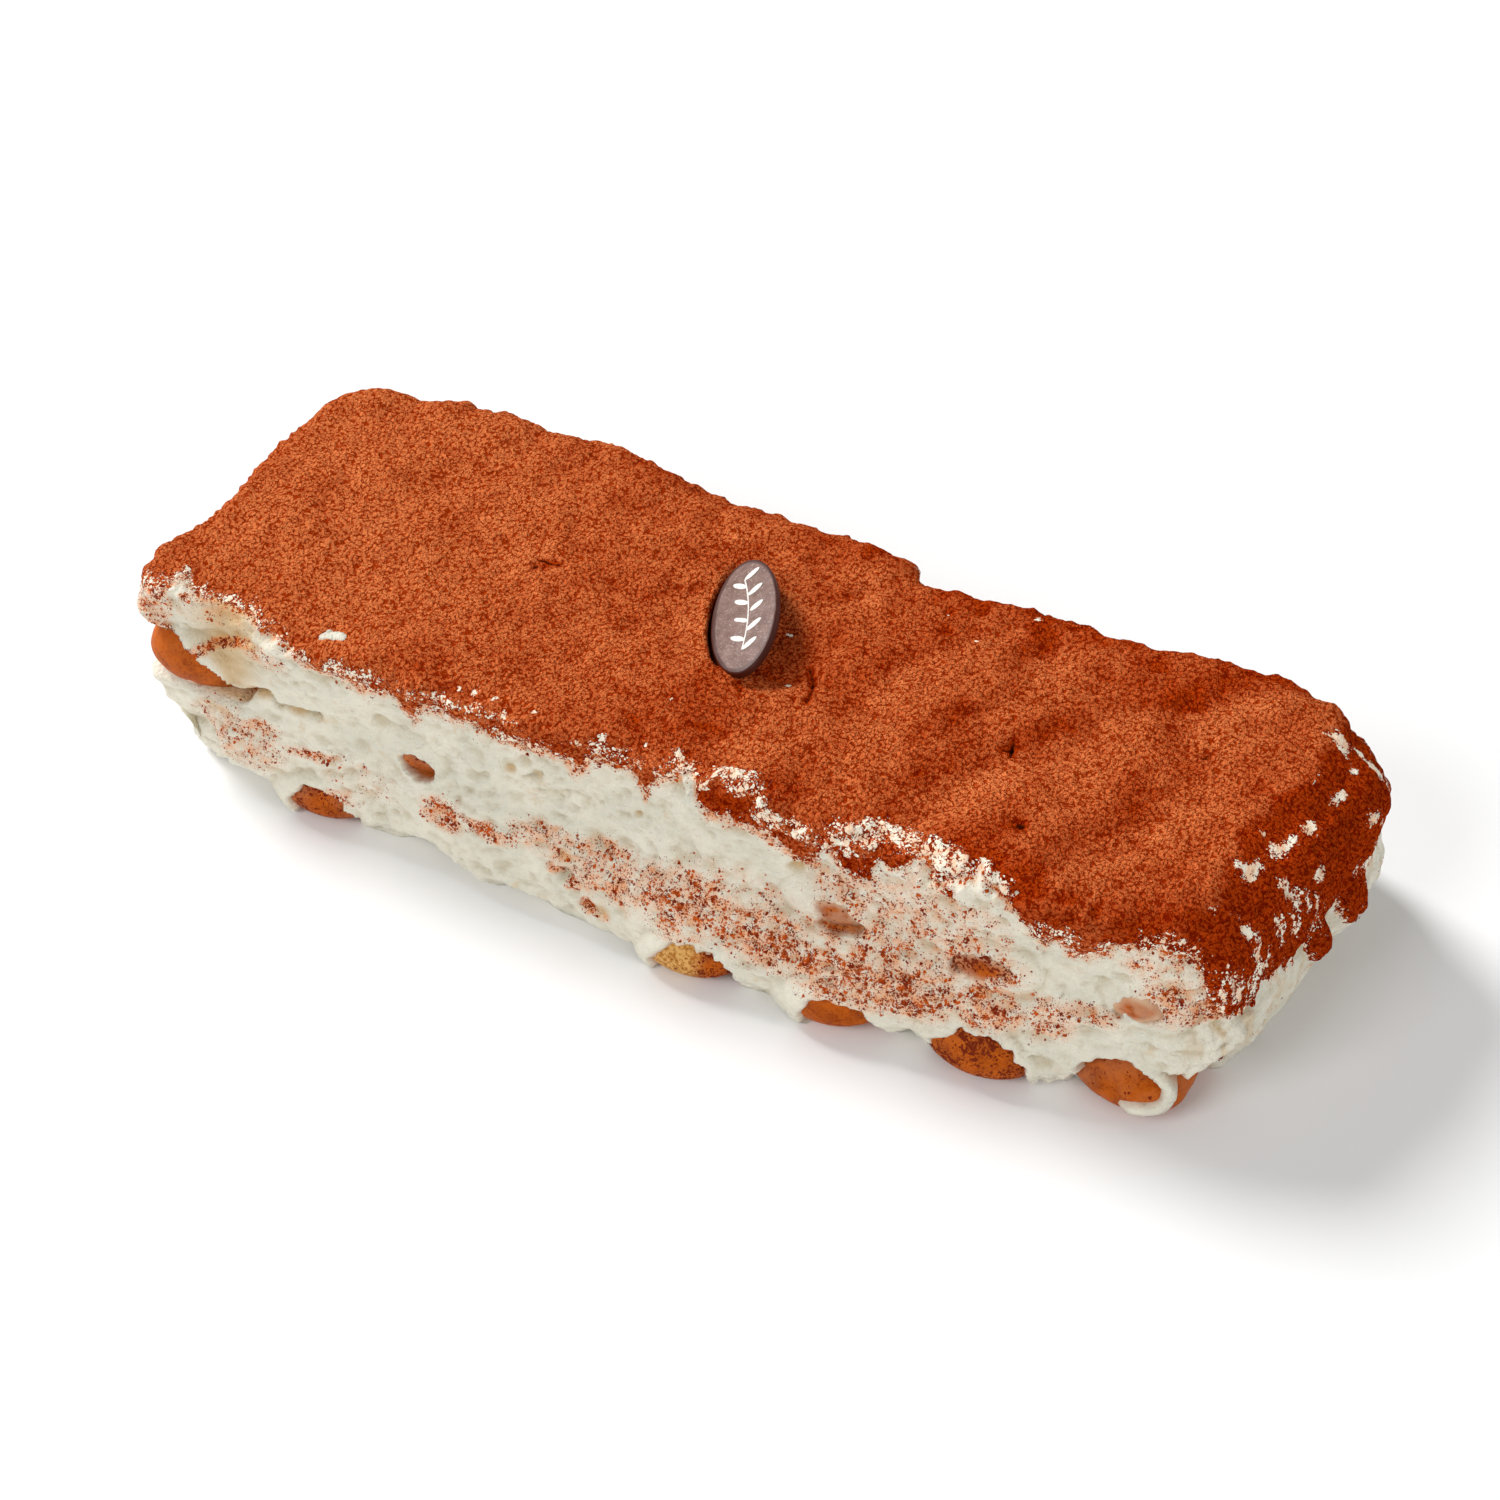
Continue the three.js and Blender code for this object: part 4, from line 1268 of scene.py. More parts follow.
def finger_rings(body, seed):
    """Rings of a wrinkled finger along Y, from tip to tip, with its flat underside at height 0."""
    tilt = np.linspace(0.02, math.pi / 2, CAP_RINGS)
    cap_along = 1 - np.sin(math.pi / 2 - tilt)
    along = np.concatenate([
        -body - FINGER_CAP * (1 - cap_along),
        np.linspace(-body, body, FINGER_RINGS)[1:-1],
        body + FINGER_CAP * (1 - cap_along[::-1]),
    ])
    width = np.concatenate([np.sin(tilt), np.ones(FINGER_RINGS - 2), np.sin(tilt[::-1])])
    angle = np.linspace(0, 2 * math.pi, FINGER_SIDES, endpoint=False)
    side = np.cos(angle)[None] * width[:, None]
    high = np.sin(angle)[None] * width[:, None]
    height = FINGER_BELLY + high * finger_rise(high)
    rings = np.stack([side * FINGER_WIDTH / 2, along[:, None] + 0 * side, height], -1)
    wrinkle = 0.28 * rough_noise(rings, (5, 8, 4), seed, 3)
    wrinkle = wrinkle - 0.12 * np.abs(soft_noise(rings, (3, 9, 3), seed + 5))
    rings = rings + np.stack([side, 0 * side, high], -1) * wrinkle[..., None]
    rings[..., 2] = np.maximum(rings[..., 2], 0)
    return rings


def close_tips(rows):
    """Adds a row at each tip that runs together in one point."""
    first = np.repeat(rows[:1].mean(axis=1, keepdims=True), rows.shape[1], axis=1)
    last = np.repeat(rows[-1:].mean(axis=1, keepdims=True), rows.shape[1], axis=1)
    return np.vstack([first, rows, last])


print("rings of a ladyfinger:", FINGER_RINGS - 2 + 2 * CAP_RINGS)

# %% Film and dust on a tip
# How thick a film of cream, and how much dust, lies on each tip
FILMS = {"upper_3": 0.2, "upper_6": 0.8, "upper_7": 0.55, "upper_8": 0.75, "lower_8": 0.1, "lower_2": 0.1}
FINGER_DUST = {
    "upper_1": 0.08, "upper_3": 0.25, "upper_6": 0.3, "upper_7": 0.5, "upper_8": 0.1,
    "lower_2": 0.5, "lower_5": 0.5, "lower_6": 0.04, "lower_7": 0.55, "lower_8": 0.14,
}
USUAL_FILM, USUAL_DUST = 0.02, 0.25
BROKEN_FINGER = "lower_5"


def film_share(points, layer):
    """0 in the middle of a window and 1 at its edge, where cream is wiped thin over the tip."""
    x, y, z = axes(points)
    out = np.maximum(-y - front_reach(x, z), 0)
    seen_x, seen_z = x - SIGHT_ALONG * out, z - SIGHT_DOWN * out
    far = np.min([oval(seen_x, seen_z, centre, half) for centre, half in WINDOWS[layer]], axis=0)
    return ease(far, 0.5, 1.05) * (y < 0)


def finger_attributes(points, layer, key, at, seed):
    sponge = 0.9 * (1 - ease(points[..., 0] - at, 4, 9)) if key == BROKEN_FINGER else 0 * points[..., 0]
    spread = ease(rough_noise(points, 5, seed + 7), -0.3, 0.4)
    film = np.clip(FILMS.get(key, USUAL_FILM) * (0.5 * spread + film_share(points, layer)), 0, 1)
    clouds = ease(rough_noise(points, 7, seed + 9), -0.4, 0.4)
    dust = FINGER_DUST.get(key, USUAL_DUST) * (0.6 + 0.6 * clouds) * (1 - 0.7 * sponge)
    return {"film": film, "dust": dust, "sponge": sponge}


print("tips with their own film of cream:", len(FILMS))


# %% Ladyfinger pieces
def ladyfinger(layer, number, place):
    at, turn = place[0], place[3]
    seed = 200 + 10 * number + (100 if layer == "upper" else 0)
    _, front, back = finger_ends(layer, place)
    rings = finger_rings((back - front) / 2 - FINGER_CAP, seed)
    spin = math.radians(turn)
    x = at + rings[..., 0] * math.cos(spin) - rings[..., 1] * math.sin(spin)
    y = (front + back) / 2 + rings[..., 0] * math.sin(spin) + rings[..., 1] * math.cos(spin)
    points = np.stack([x, y, finger_floor(layer, at) + rings[..., 2]], -1)
    attributes = finger_attributes(points, layer, f"{layer}_{number}", at, seed)
    padded = {key: np.vstack([value[:1], value, value[-1:]]) for key, value in attributes.items()}
    name = f"soaked_ladyfinger_{layer}_{number}"
    mesh = skin_mesh(name, close_tips(points), padded)
    return piece(name, mesh, "ladyfinger", f"ladyfinger_{layer}_{number}")


fingers = [ladyfinger(layer, number, place) for layer, places in FINGERS.items()
           for number, place in enumerate(places, start=1)]

# %% [markdown]
# ## The plaque
# The plaque is a moulded oval of chocolate, a little domed, with a bevelled edge. It leans on its
# sunken left edge. A flattened ball would lack the bevel, so rings of points make it, from the middle
# of its back, round the edge and in to the middle of its face. One matrix then sets it in place.

# %% Plaque mesh
PLAQUE_WIDTH, PLAQUE_THICKNESS, PLAQUE_BEVEL, PLAQUE_DOME = 18.5, 2.2, 0.5, 0.25
PLAQUE_SIDES, PLAQUE_LEAN, PLAQUE_RISE = 120, -28, 2.6
PLAQUE_PLACE = (
    Matrix.Translation((*PLAQUE_AT, CREAM_HEIGHT + COCOA_DEPTH + PLAQUE_RISE))
    @ Matrix.Rotation(math.radians(PLAQUE_TURN), 4, "Z")
    @ Matrix.Rotation(math.radians(PLAQUE_LEAN), 4, "Y")
)


def oval_ring(half_width, half_length, z):
    angle = np.linspace(0, 2 * math.pi, PLAQUE_SIDES, endpoint=False)
    return np.stack([half_width * np.cos(angle), half_length * np.sin(angle), z + 0 * angle], -1)


def plaque_rings():
    half = PLAQUE_THICKNESS / 2
    turns = np.linspace(0, math.pi / 2, 6)
    flat = [(share, -half) for share in np.linspace(0.0, 0.9, 8)]
    edge = [(PLAQUE_BEVEL * (1 - math.sin(t)), -half + PLAQUE_BEVEL * (1 - math.cos(t))) for t in turns]
    edge += [(PLAQUE_BEVEL * (1 - math.cos(t)), half - PLAQUE_BEVEL * (1 - math.sin(t))) for t in turns]
    face = [(share, half + PLAQUE_DOME * (1 - share ** 2)) for share in np.linspace(0.93, 0.0, 14)]
    rings = [oval_ring(share * PLAQUE_WIDTH / 2, share * PLAQUE_LENGTH / 2, z) for share, z in flat]
    rings += [oval_ring(PLAQUE_WIDTH / 2 - inset, PLAQUE_LENGTH / 2 - inset, z) for inset, z in edge]
    rings += [oval_ring(share * PLAQUE_WIDTH / 2, share * PLAQUE_LENGTH / 2, z) for share, z in face]
    return np.stack(rings)


def plaque_share(rings, shift=0.0):
    """1 on the plaque's edge and less inside it."""
    return np.hypot((rings[..., 0] - shift) / (PLAQUE_WIDTH / 2), rings[..., 1] / (PLAQUE_LENGTH / 2))


rings = plaque_rings()
rings[..., 2] += 0.05 * rough_noise(rings, 4, 301) * (plaque_share(rings) < 0.95)
# The edge is worn all round; the band shifted to the sunken left edge is painted shade.
worn_and_shaded_edge = np.maximum(ease(plaque_share(rings), 0.88, 0.98), ease(plaque_share(rings, 1.6), 0.98, 1.06))
plaque_mesh = skin_mesh("plaque_moulded", rings, {"edge": worn_and_shaded_edge})
plaque_matrix = Matrix.Scale(MM, 4) @ PLAQUE_PLACE @ Matrix.Scale(1 / MM, 4)
plaque_mesh.transform(plaque_matrix)
plaque = piece("plaque_moulded", plaque_mesh, "chocolate", "chocolate_plaque")

# %% [markdown]
# ## Helpers for node trees
# Materials and Geometry Nodes are both trees of nodes. One small helper adds a node, sets it up and
# fills its sockets, with a plain value or with another node's output. The others name the few
# things that every finish here is mixed from: sums, ramps, noise, cells, colours and bumps.


# %% Node helpers
def add_node(tree, kind, sockets=None, **settings):
    made = tree.nodes.new(kind)
    for name, value in settings.items():
        setattr(made, name, value)
    for key, value in (sockets or {}).items():
        if isinstance(value, bpy.types.NodeSocket):
            tree.links.new(value, made.inputs[key])
        else:
            made.inputs[key].default_value = value
    return made


def maths(tree, operation, a, b=0.0):
    return add_node(tree, "ShaderNodeMath", {0: a, 1: b}, operation=operation).outputs[0]


def plus(tree, a, b):
    return maths(tree, "ADD", a, b)


def minus(tree, a, b):
    return maths(tree, "SUBTRACT", a, b)


def times(tree, a, b):
    return maths(tree, "MULTIPLY", a, b)


def ramp(tree, value, low, high):
    """0 to 1, softly, as value goes from low to high."""
    sockets = {"Value": value, "From Min": low, "From Max": high}
    return add_node(tree, "ShaderNodeMapRange", sockets, interpolation_type="SMOOTHSTEP").outputs["Result"]


print("Blender", bpy.app.version_string, "builds the trees")

# %% Patterns
PER_METRE = 1000


def millimetres(tree):
    """Object coordinates in millimetres."""
    place = add_node(tree, "ShaderNodeTexCoord").outputs["Object"]
    return add_node(tree, "ShaderNodeMapping", {"Vector": place, "Scale": [PER_METRE] * 3}).outputs[0]


def noise(tree, place, per_mm, detail=2.0, roughness=0.5):
    sockets = {"Vector": place, "Scale": per_mm, "Detail": detail, "Roughness": roughness}
    return add_node(tree, "ShaderNodeTexNoise", sockets).outputs["Fac"]


def pushed_about(tree, place, per_mm, detail, far):
    """The place, pushed about by noise, so that cells laid on it get uneven edges."""
    push = add_node(tree, "ShaderNodeTexNoise", {"Vector": place, "Scale": per_mm, "Detail": detail})
    sockets = {0: push.outputs["Color"], 1: (far, far, far), 2: place}
    return add_node(tree, "ShaderNodeVectorMath", sockets, operation="MULTIPLY_ADD").outputs[0]


def cells(tree, place, per_mm):
    return add_node(tree, "ShaderNodeTexVoronoi", {"Vector": place, "Scale": per_mm}).outputs


print("patterns are scaled by", PER_METRE, "to millimetres")


# %% Colours
def attribute(tree, name):
    return add_node(tree, "ShaderNodeAttribute", attribute_name=name).outputs["Fac"]


def colour(red, green, blue):
    """A colour as a paint chart gives it, 0 to 255, turned into the light that it reflects."""
    parts = [part / 255 for part in (red, green, blue)]
    light = [part / 12.92 if part <= 0.04045 else ((part + 0.055) / 1.055) ** 2.4 for part in parts]
    return (*light, 1.0)


def blend_colours(tree, share, a, b):
    sockets = {"Factor": share, 6: a, 7: b}
    return add_node(tree, "ShaderNodeMix", sockets, data_type="RGBA").outputs[2]


print("middle grey reflects", round(colour(128, 128, 128)[0], 3), "of the light")


# %% Start and end of a material
def new_material(name):
    made = bpy.data.materials.new(name)
    made.use_nodes = True
    made.node_tree.nodes.clear()
    return made, made.node_tree


def bumped(tree, height, strength, distance):
    sockets = {"Strength": strength, "Distance": distance, "Height": height}
    return add_node(tree, "ShaderNodeBump", sockets).outputs[0]


def finish_material(tree, sockets):
    shader = add_node(tree, "ShaderNodeBsdfPrincipled", sockets)
    add_node(tree, "ShaderNodeOutputMaterial", {"Surface": shader.outputs[0]})


def paint(finish, *pieces):
    for dressed in pieces:
        dressed.data.materials.append(finish)
    print(f"{finish.name}: {len(finish.node_tree.nodes)} nodes, pieces: {len(pieces)}")


print("materials before the first finish:", len(bpy.data.materials))

# %% [markdown]
# ## Specks of cocoa
# Dust on cream isn't a brown tint. It is dark specks with clean cream between them, and more
# specks where it lies thicker. Cells of two or three sizes are the grains. Each cell draws a lot,
# and the dust number, with noise for clumps, decides whether it gets a grain and how large that is.

# %% Specks
SPECK_SIZES = (1.05, 2.0)


def specks(tree, place, amount, sizes=SPECK_SIZES):
    bent = pushed_about(tree, place, 1.6, 1.0, 0.8)
    clumps = times(tree, minus(tree, noise(tree, place, 0.4, 4.0, 0.65), 0.5), 1.1)
    local = plus(tree, amount, clumps)
    share = 0.0
    for per_mm in sizes:
        grains = cells(tree, bent, per_mm)
        lot = add_node(tree, "ShaderNodeSeparateColor", {0: grains["Color"]}).outputs[0]
        spare = minus(tree, local, times(tree, lot, 0.9))
        reach = plus(tree, times(tree, spare, 1.33), 0.11)
        grain = ramp(tree, minus(tree, reach, grains["Distance"]), -0.06, 0.06)
        share = maths(tree, "MAXIMUM", grain, share)
    return times(tree, share, ramp(tree, amount, 0.02, 0.1))


print("usual speck cells in mm:", [round(1 / per_mm, 2) for per_mm in SPECK_SIZES])

# %% [markdown]
# ## Mascarpone cream
# Cream is pale ivory, a little cooler in the shade, and light goes a few millimetres into it.
# Stains from the sponge make golden spots, and dust lays a warm haze and specks on it. One tree
# mixes all of this from the numbers on the mesh, so that both layers share it.

# %% Colour of the cream
IVORY, SHADED_IVORY, PALE_STAIN = colour(240, 234, 216), colour(230, 226, 208), colour(216, 184, 136)
# The first colour on the next line is painted shade for the cream's sunken places.
PAINTED_HOLLOW_SHADE, COFFEE_GOLD, CRUST_STAIN = colour(196, 180, 146), colour(206, 160, 84), colour(180, 92, 24)


def cream_colour(tree, place):
    patches = ramp(tree, noise(tree, place, 0.09, 2.0), 0.35, 0.65)
    clean = blend_colours(tree, patches, IVORY, SHADED_IVORY)
    stains = times(tree, ramp(tree, noise(tree, place, 0.2, 3.0, 0.6), 0.6, 0.74), 0.4)
    light = blend_colours(tree, stains, clean, PALE_STAIN)
    # Sunken places get painted shade.
    deep = times(tree, attribute(tree, "deep"), 0.62)
    pale = blend_colours(tree, deep, light, PAINTED_HOLLOW_SHADE)
    gold = times(tree, attribute(tree, "gold"), 0.6)
    golden = blend_colours(tree, gold, pale, COFFEE_GOLD)
    return blend_colours(tree, attribute(tree, "crust"), golden, CRUST_STAIN)


print("ivory reflects", [round(part, 2) for part in IVORY[:3]], "of red, green and blue")

# %% Cream material
WARM_HAZE, DARK_SPECK, LIGHT_SPECK = colour(246, 152, 74), colour(124, 30, 0), colour(206, 88, 16)
CREAM_SPECKS = (0.95, 1.8, 3.2)


def cream_material():
    made, tree = new_material("mascarpone_cream")
    place = millimetres(tree)
    dust = attribute(tree, "dust")
    clouds = ramp(tree, noise(tree, place, 0.42, 3.0, 0.6), 0.25, 0.7)
    haze = times(tree, ramp(tree, dust, 0.05, 0.6), times(tree, clouds, 0.8))
    tinted = blend_colours(tree, haze, cream_colour(tree, place), WARM_HAZE)
    speck = specks(tree, place, times(tree, dust, 0.8), CREAM_SPECKS)
    drawn = ramp(tree, noise(tree, place, 0.5), 0.35, 0.65)
    speck_colour = blend_colours(tree, drawn, DARK_SPECK, LIGHT_SPECK)
    crease = maths(tree, "ABSOLUTE", minus(tree, noise(tree, place, 0.28, 4.0, 0.6), 0.5))
    fine = plus(tree, noise(tree, place, 0.62, 4.0, 0.58), times(tree, speck, 0.15))
    fine = minus(tree, fine, times(tree, crease, 1.4))
    finish_material(tree, {
        "Base Color": blend_colours(tree, speck, tinted, speck_colour),
        "Roughness": plus(tree, times(tree, speck, 0.6), 0.36),
        "Normal": bumped(tree, fine, 0.65, 0.0018),
        "Subsurface Weight": 0.12, "Subsurface Radius": (1.0, 0.75, 0.45), "Subsurface Scale": 0.003,
        "Specular IOR Level": 0.22,
    })
    return made


paint(cream_material(), upper_cream, lower_cream)

# %% [markdown]
# ## Cocoa powder
# From close by, sifted cocoa is a field of tiny clumps with dark gaps between them. The same cells
# give the clumps their height and their colour, so that light and paint agree: the gaps get painted
# shade. It is darker where it has drawn moisture: down the right end and along its thin edge. It
# also gets painted shade in sunken places, pits and cracks, along the front rim, beside the plaque,
# away from the left end and on slopes that fall away from the key light. Scraps of cream lie on it,
# smoother than the powder.

# %% Cocoa material
# The gap colours on the next two lines are painted shade between the clumps.
DRY_GAP_SHADE, DRY_CLUMP = colour(173, 54, 6), colour(245, 136, 78)
# The wet pair on the next line also carries the painted shade of the top.
MOIST_AND_SHADED_GAP, MOIST_AND_SHADED_CLUMP = colour(132, 26, 1), colour(192, 66, 13)
# The last colour on the next line is near-black painted shade.
PALE_SCRAP, PINK_SCRAP, SLIT_PAINTED_SHADE = colour(250, 241, 220), colour(248, 208, 174), colour(44, 13, 6)
SCRAP_SPECKS = (0.9, 1.5, 2.5)


def powder_colour(tree, place, grain):
    # The lower a place lies in the cells, the darker it is painted: painted shade in the gaps.
    light = ramp(tree, grain, 0.305, 0.55)
    dry = blend_colours(tree, light, DRY_GAP_SHADE, DRY_CLUMP)
    # Wet cocoa and the painted shade of the top share these colours.
    moist_and_shaded = blend_colours(tree, light, MOIST_AND_SHADED_GAP, MOIST_AND_SHADED_CLUMP)
    drifts = ramp(tree, noise(tree, place, 0.1, 4.0, 0.6), 0.3, 0.7)
    damp_and_shade = plus(tree, attribute(tree, "damp_and_shade"), times(tree, drifts, 0.22))
    return blend_colours(tree, damp_and_shade, dry, moist_and_shaded)


def cocoa_material():
    made, tree = new_material("sifted_cocoa")
    place = millimetres(tree)
    bent = pushed_about(tree, place, 0.9, 2.0, 1.6)
    large = times(tree, cells(tree, bent, 1.1)["Distance"], 0.64)
    small = times(tree, cells(tree, bent, 2.1)["Distance"], 0.4)
    grain = minus(tree, 1.0, plus(tree, large, small))
    bare = specks(tree, place, attribute(tree, "bare"), SCRAP_SPECKS)
    pinkish = ramp(tree, noise(tree, place, 0.3), 0.42, 0.66)
    scrap = blend_colours(tree, pinkish, PALE_SCRAP, PINK_SCRAP)
    dusted = blend_colours(tree, bare, powder_colour(tree, place, grain), scrap)
    # Near-black painted shade in the plaque's groove, the pits and the cracks.
    slit = ramp(tree, attribute(tree, "slit"), 0.3, 0.75)
    smooth = minus(tree, 1.0, times(tree, bare, 0.8))
    height = plus(tree, times(tree, grain, smooth), times(tree, bare, 0.5))
    finish_material(tree, {
        "Base Color": blend_colours(tree, slit, dusted, SLIT_PAINTED_SHADE),
        "Normal": bumped(tree, height, 1.0, 0.0014),
        "Roughness": 1.0, "Specular IOR Level": 0.0,
    })
    return made


paint(cocoa_material(), cocoa)

# %% [markdown]
# ## Soaked sponge
# The crust is warm brown where it is dry and deep brown where coffee has come through. Broken
# sponge shows golden and porous. A film of cream lies on some tips. All sixteen fingers share one
# tree, and noise in the block's own coordinates makes each of them look different.

# %% Ladyfinger material
DRY_CRUST, SOAKED_CRUST, CRUST_PORE = colour(186, 84, 6), colour(144, 55, 2), colour(208, 110, 24)
CRUMB_SHADE, CRUMB_GOLD = colour(176, 112, 40), colour(226, 178, 104)
CREAM_FILM, FINGER_SPECK = colour(212, 180, 148), colour(116, 40, 16)


def ladyfinger_material():
    made, tree = new_material("soaked_ladyfinger")
    place = millimetres(tree)
    soaked = ramp(tree, noise(tree, place, 0.16, 3.0, 0.6), 0.35, 0.68)
    crust = blend_colours(tree, soaked, DRY_CRUST, SOAKED_CRUST)
    pores = ramp(tree, noise(tree, place, 1.2, 3.0, 0.6), 0.36, 0.6)
    mottled = blend_colours(tree, times(tree, pores, 0.35), crust, CRUST_PORE)
    crumb = blend_colours(tree, pores, CRUMB_SHADE, CRUMB_GOLD)
    body = blend_colours(tree, attribute(tree, "sponge"), mottled, crumb)
    filmed = blend_colours(tree, attribute(tree, "film"), body, CREAM_FILM)
    speck = specks(tree, place, attribute(tree, "dust"))
    height = plus(tree, noise(tree, place, 0.9, 4.0, 0.65), times(tree, speck, 0.3))
    finish_material(tree, {
        "Base Color": blend_colours(tree, speck, filmed, FINGER_SPECK),
        "Roughness": plus(tree, times(tree, speck, 0.4), 0.5),
        "Normal": bumped(tree, height, 0.4, 0.0006),
        "Subsurface Weight": 0.05, "Subsurface Radius": (1.0, 0.5, 0.25), "Subsurface Scale": 0.003,
        "Specular IOR Level": 0.07,
    })
    return made


paint(ladyfinger_material(), *fingers)

# %% [markdown]
# ## Chocolate with a bloom
# Moulded chocolate that has warmed a little gets a grey bloom: satin, paler in soft clouds, worn
# off along the edge, where the dark chocolate shows, and with painted shade along its sunken left
# edge. A plain grey would look like stone, so clouds, fine crystals and the dark edge are mixed one
# over the other.

# %% Chocolate material
BLOOM_SHADE, BLOOM_LIGHT = colour(102, 68, 56), colour(131, 100, 89)
BLOOM_CRYSTAL, DARK_CHOCOLATE = colour(196, 178, 170), colour(70, 26, 12)


def chocolate_material():
    made, tree = new_material("bloomed_chocolate")
    place = millimetres(tree)
    clouds = ramp(tree, noise(tree, place, 0.35, 4.0, 0.6), 0.3, 0.7)
    bloom = blend_colours(tree, clouds, BLOOM_SHADE, BLOOM_LIGHT)
    crystals = times(tree, ramp(tree, noise(tree, place, 2.0, 2.0), 0.56, 0.72), 0.45)
    bloom = blend_colours(tree, crystals, bloom, BLOOM_CRYSTAL)
    # Dark chocolate on the worn edge, and painted shade along the sunken left edge.
    worn_and_shaded = plus(tree, attribute(tree, "edge"), times(tree, noise(tree, place, 1.5), 0.3))
    finish_material(tree, {
        "Base Color": blend_colours(tree, ramp(tree, worn_and_shaded, 0.45, 0.9), bloom, DARK_CHOCOLATE),
        "Normal": bumped(tree, noise(tree, place, 2.2, 3.0), 0.15, 0.0003),
        "Roughness": 0.42, "Specular IOR Level": 0.3,
    })
    return made


paint(chocolate_material(), plaque)

# %% [markdown]
# ## Loose grains with Geometry Nodes
# Where cocoa fell on a side it lies as grains that catch the light. Geometry Nodes scatter points on
# the cream, thicker where the dust number is higher, set a small uneven stone on each, and make
# the result real mesh, because instances don't survive an export.


# %% Start and end of a tree
def new_tree(name, sizes):
    """A tree with a named input for each size, and the identifiers of those inputs."""
    tree = bpy.data.node_groups.new(name, "GeometryNodeTree")
    for way in ("OUTPUT", "INPUT"):
        tree.interface.new_socket("Geometry", in_out=way, socket_type="NodeSocketGeometry")
    inputs = {}
    for title, kind in sizes.items():
        socket = tree.interface.new_socket(title, in_out="INPUT", socket_type="NodeSocket" + kind)
        inputs[title] = socket.identifier
    return tree, inputs, add_node(tree, "NodeGroupInput").outputs


def finish_tree(tree, geometry, material):
    real = add_node(tree, "GeometryNodeRealizeInstances", {"Geometry": geometry})
    smooth = add_node(tree, "GeometryNodeSetShadeSmooth", {"Geometry": real.outputs[0]})
    coat = add_node(tree, "GeometryNodeSetMaterial", {"Geometry": smooth.outputs[0], "Material": material})
    add_node(tree, "NodeGroupOutput", {"Geometry": coat.outputs[0]})


def made_by_nodes(name, mesh, tree, inputs, values):
    """Runs a tree on a mesh and returns the result as a plain mesh."""
    carrier = bpy.data.objects.new(name + "_carrier", mesh)
    bpy.context.scene.collection.objects.link(carrier)
    modifier = carrier.modifiers.new("nodes", "NODES")
    modifier.node_group = tree
    for key, value in values.items():
        modifier[inputs[key]] = value
    seen = carrier.evaluated_get(bpy.context.evaluated_depsgraph_get())
    result = bpy.data.meshes.new_from_object(seen)
    result.name = name
    carrier.modifiers.remove(modifier)
    bpy.data.objects.remove(carrier)
    print(f"{name}: {len(result.vertices)} points from {len(tree.nodes)} nodes")
    return result


print("node groups before the first tree:", len(bpy.data.node_groups))

# %% Scatter tree
GRAIN_SIZES = {
    "Density": "Float", "Least": "Float", "Grain size": "Float", "Seed": "Int", "Material": "Material",
}
STONE_ROUNDS, FULL_TURN = 1, 6.28
LEAST_STONE, MOST_STONE = (0.35, 0.35, 0.3), (1.0, 1.0, 0.8)


def scatter_tree(name, number):
    """Scatters uneven grains where the named number on the surface is high."""
    tree, inputs, source = new_tree(name, GRAIN_SIZES)
    thick = add_node(tree, "GeometryNodeInputNamedAttribute", {"Name": number}, data_type="FLOAT")
    above = minus(tree, thick.outputs["Attribute"], source["Least"])
    points = add_node(tree, "GeometryNodeDistributePointsOnFaces", {
        "Mesh": source["Geometry"], "Seed": source["Seed"],
        "Density": times(tree, maths(tree, "MAXIMUM", above, 0.0), source["Density"]),
    })
    stone = add_node(tree, "GeometryNodeMeshIcoSphere", {"Radius": 1.0, "Subdivisions": STONE_ROUNDS})
    turns = {1: (FULL_TURN, FULL_TURN, FULL_TURN), "Seed": source["Seed"]}
    spin = add_node(tree, "FunctionNodeRandomValue", turns, data_type="FLOAT_VECTOR")
    shapes = {0: LEAST_STONE, 1: MOST_STONE}
    shape = add_node(tree, "FunctionNodeRandomValue", shapes, data_type="FLOAT_VECTOR")
    sizes = {0: shape.outputs[0], "Scale": source["Grain size"]}
    size = add_node(tree, "ShaderNodeVectorMath", sizes, operation="SCALE")
    grains = add_node(tree, "GeometryNodeInstanceOnPoints", {
        "Points": points.outputs["Points"], "Instance": stone.outputs["Mesh"],
        "Rotation": spin.outputs[0], "Scale": size.outputs[0],
    })
    finish_tree(tree, grains.outputs[0], source["Material"])
    return tree, inputs


dust_tree, dust_inputs = scatter_tree("cocoa_grains_on_cream", "dust")
print("inputs of the scatter tree:", list(dust_inputs))

# %% Loose grains
GRAIN_SHADE, GRAIN_LIGHT = colour(138, 44, 8), colour(194, 88, 34)


def grain_material():
    made, tree = new_material("cocoa_grain")
    drawn = ramp(tree, noise(tree, millimetres(tree), 0.8), 0.35, 0.65)
    painted = blend_colours(tree, drawn, GRAIN_SHADE, GRAIN_LIGHT)
    finish_material(tree, {"Base Color": painted, "Roughness": 0.95, "Specular IOR Level": 0.1})
    return made


grain_values = {"Density": 1.5e6, "Least": 0.26, "Grain size": 0.34 * MM, "Material": grain_material()}
for layer, host, seed in (("upper", upper_cream, 5), ("lower", lower_cream, 6)):
    name = f"grains_{layer}"
    values = {**grain_values, "Seed": seed}
    piece(name, made_by_nodes(name, host.data, dust_tree, dust_inputs, values), "cocoa")

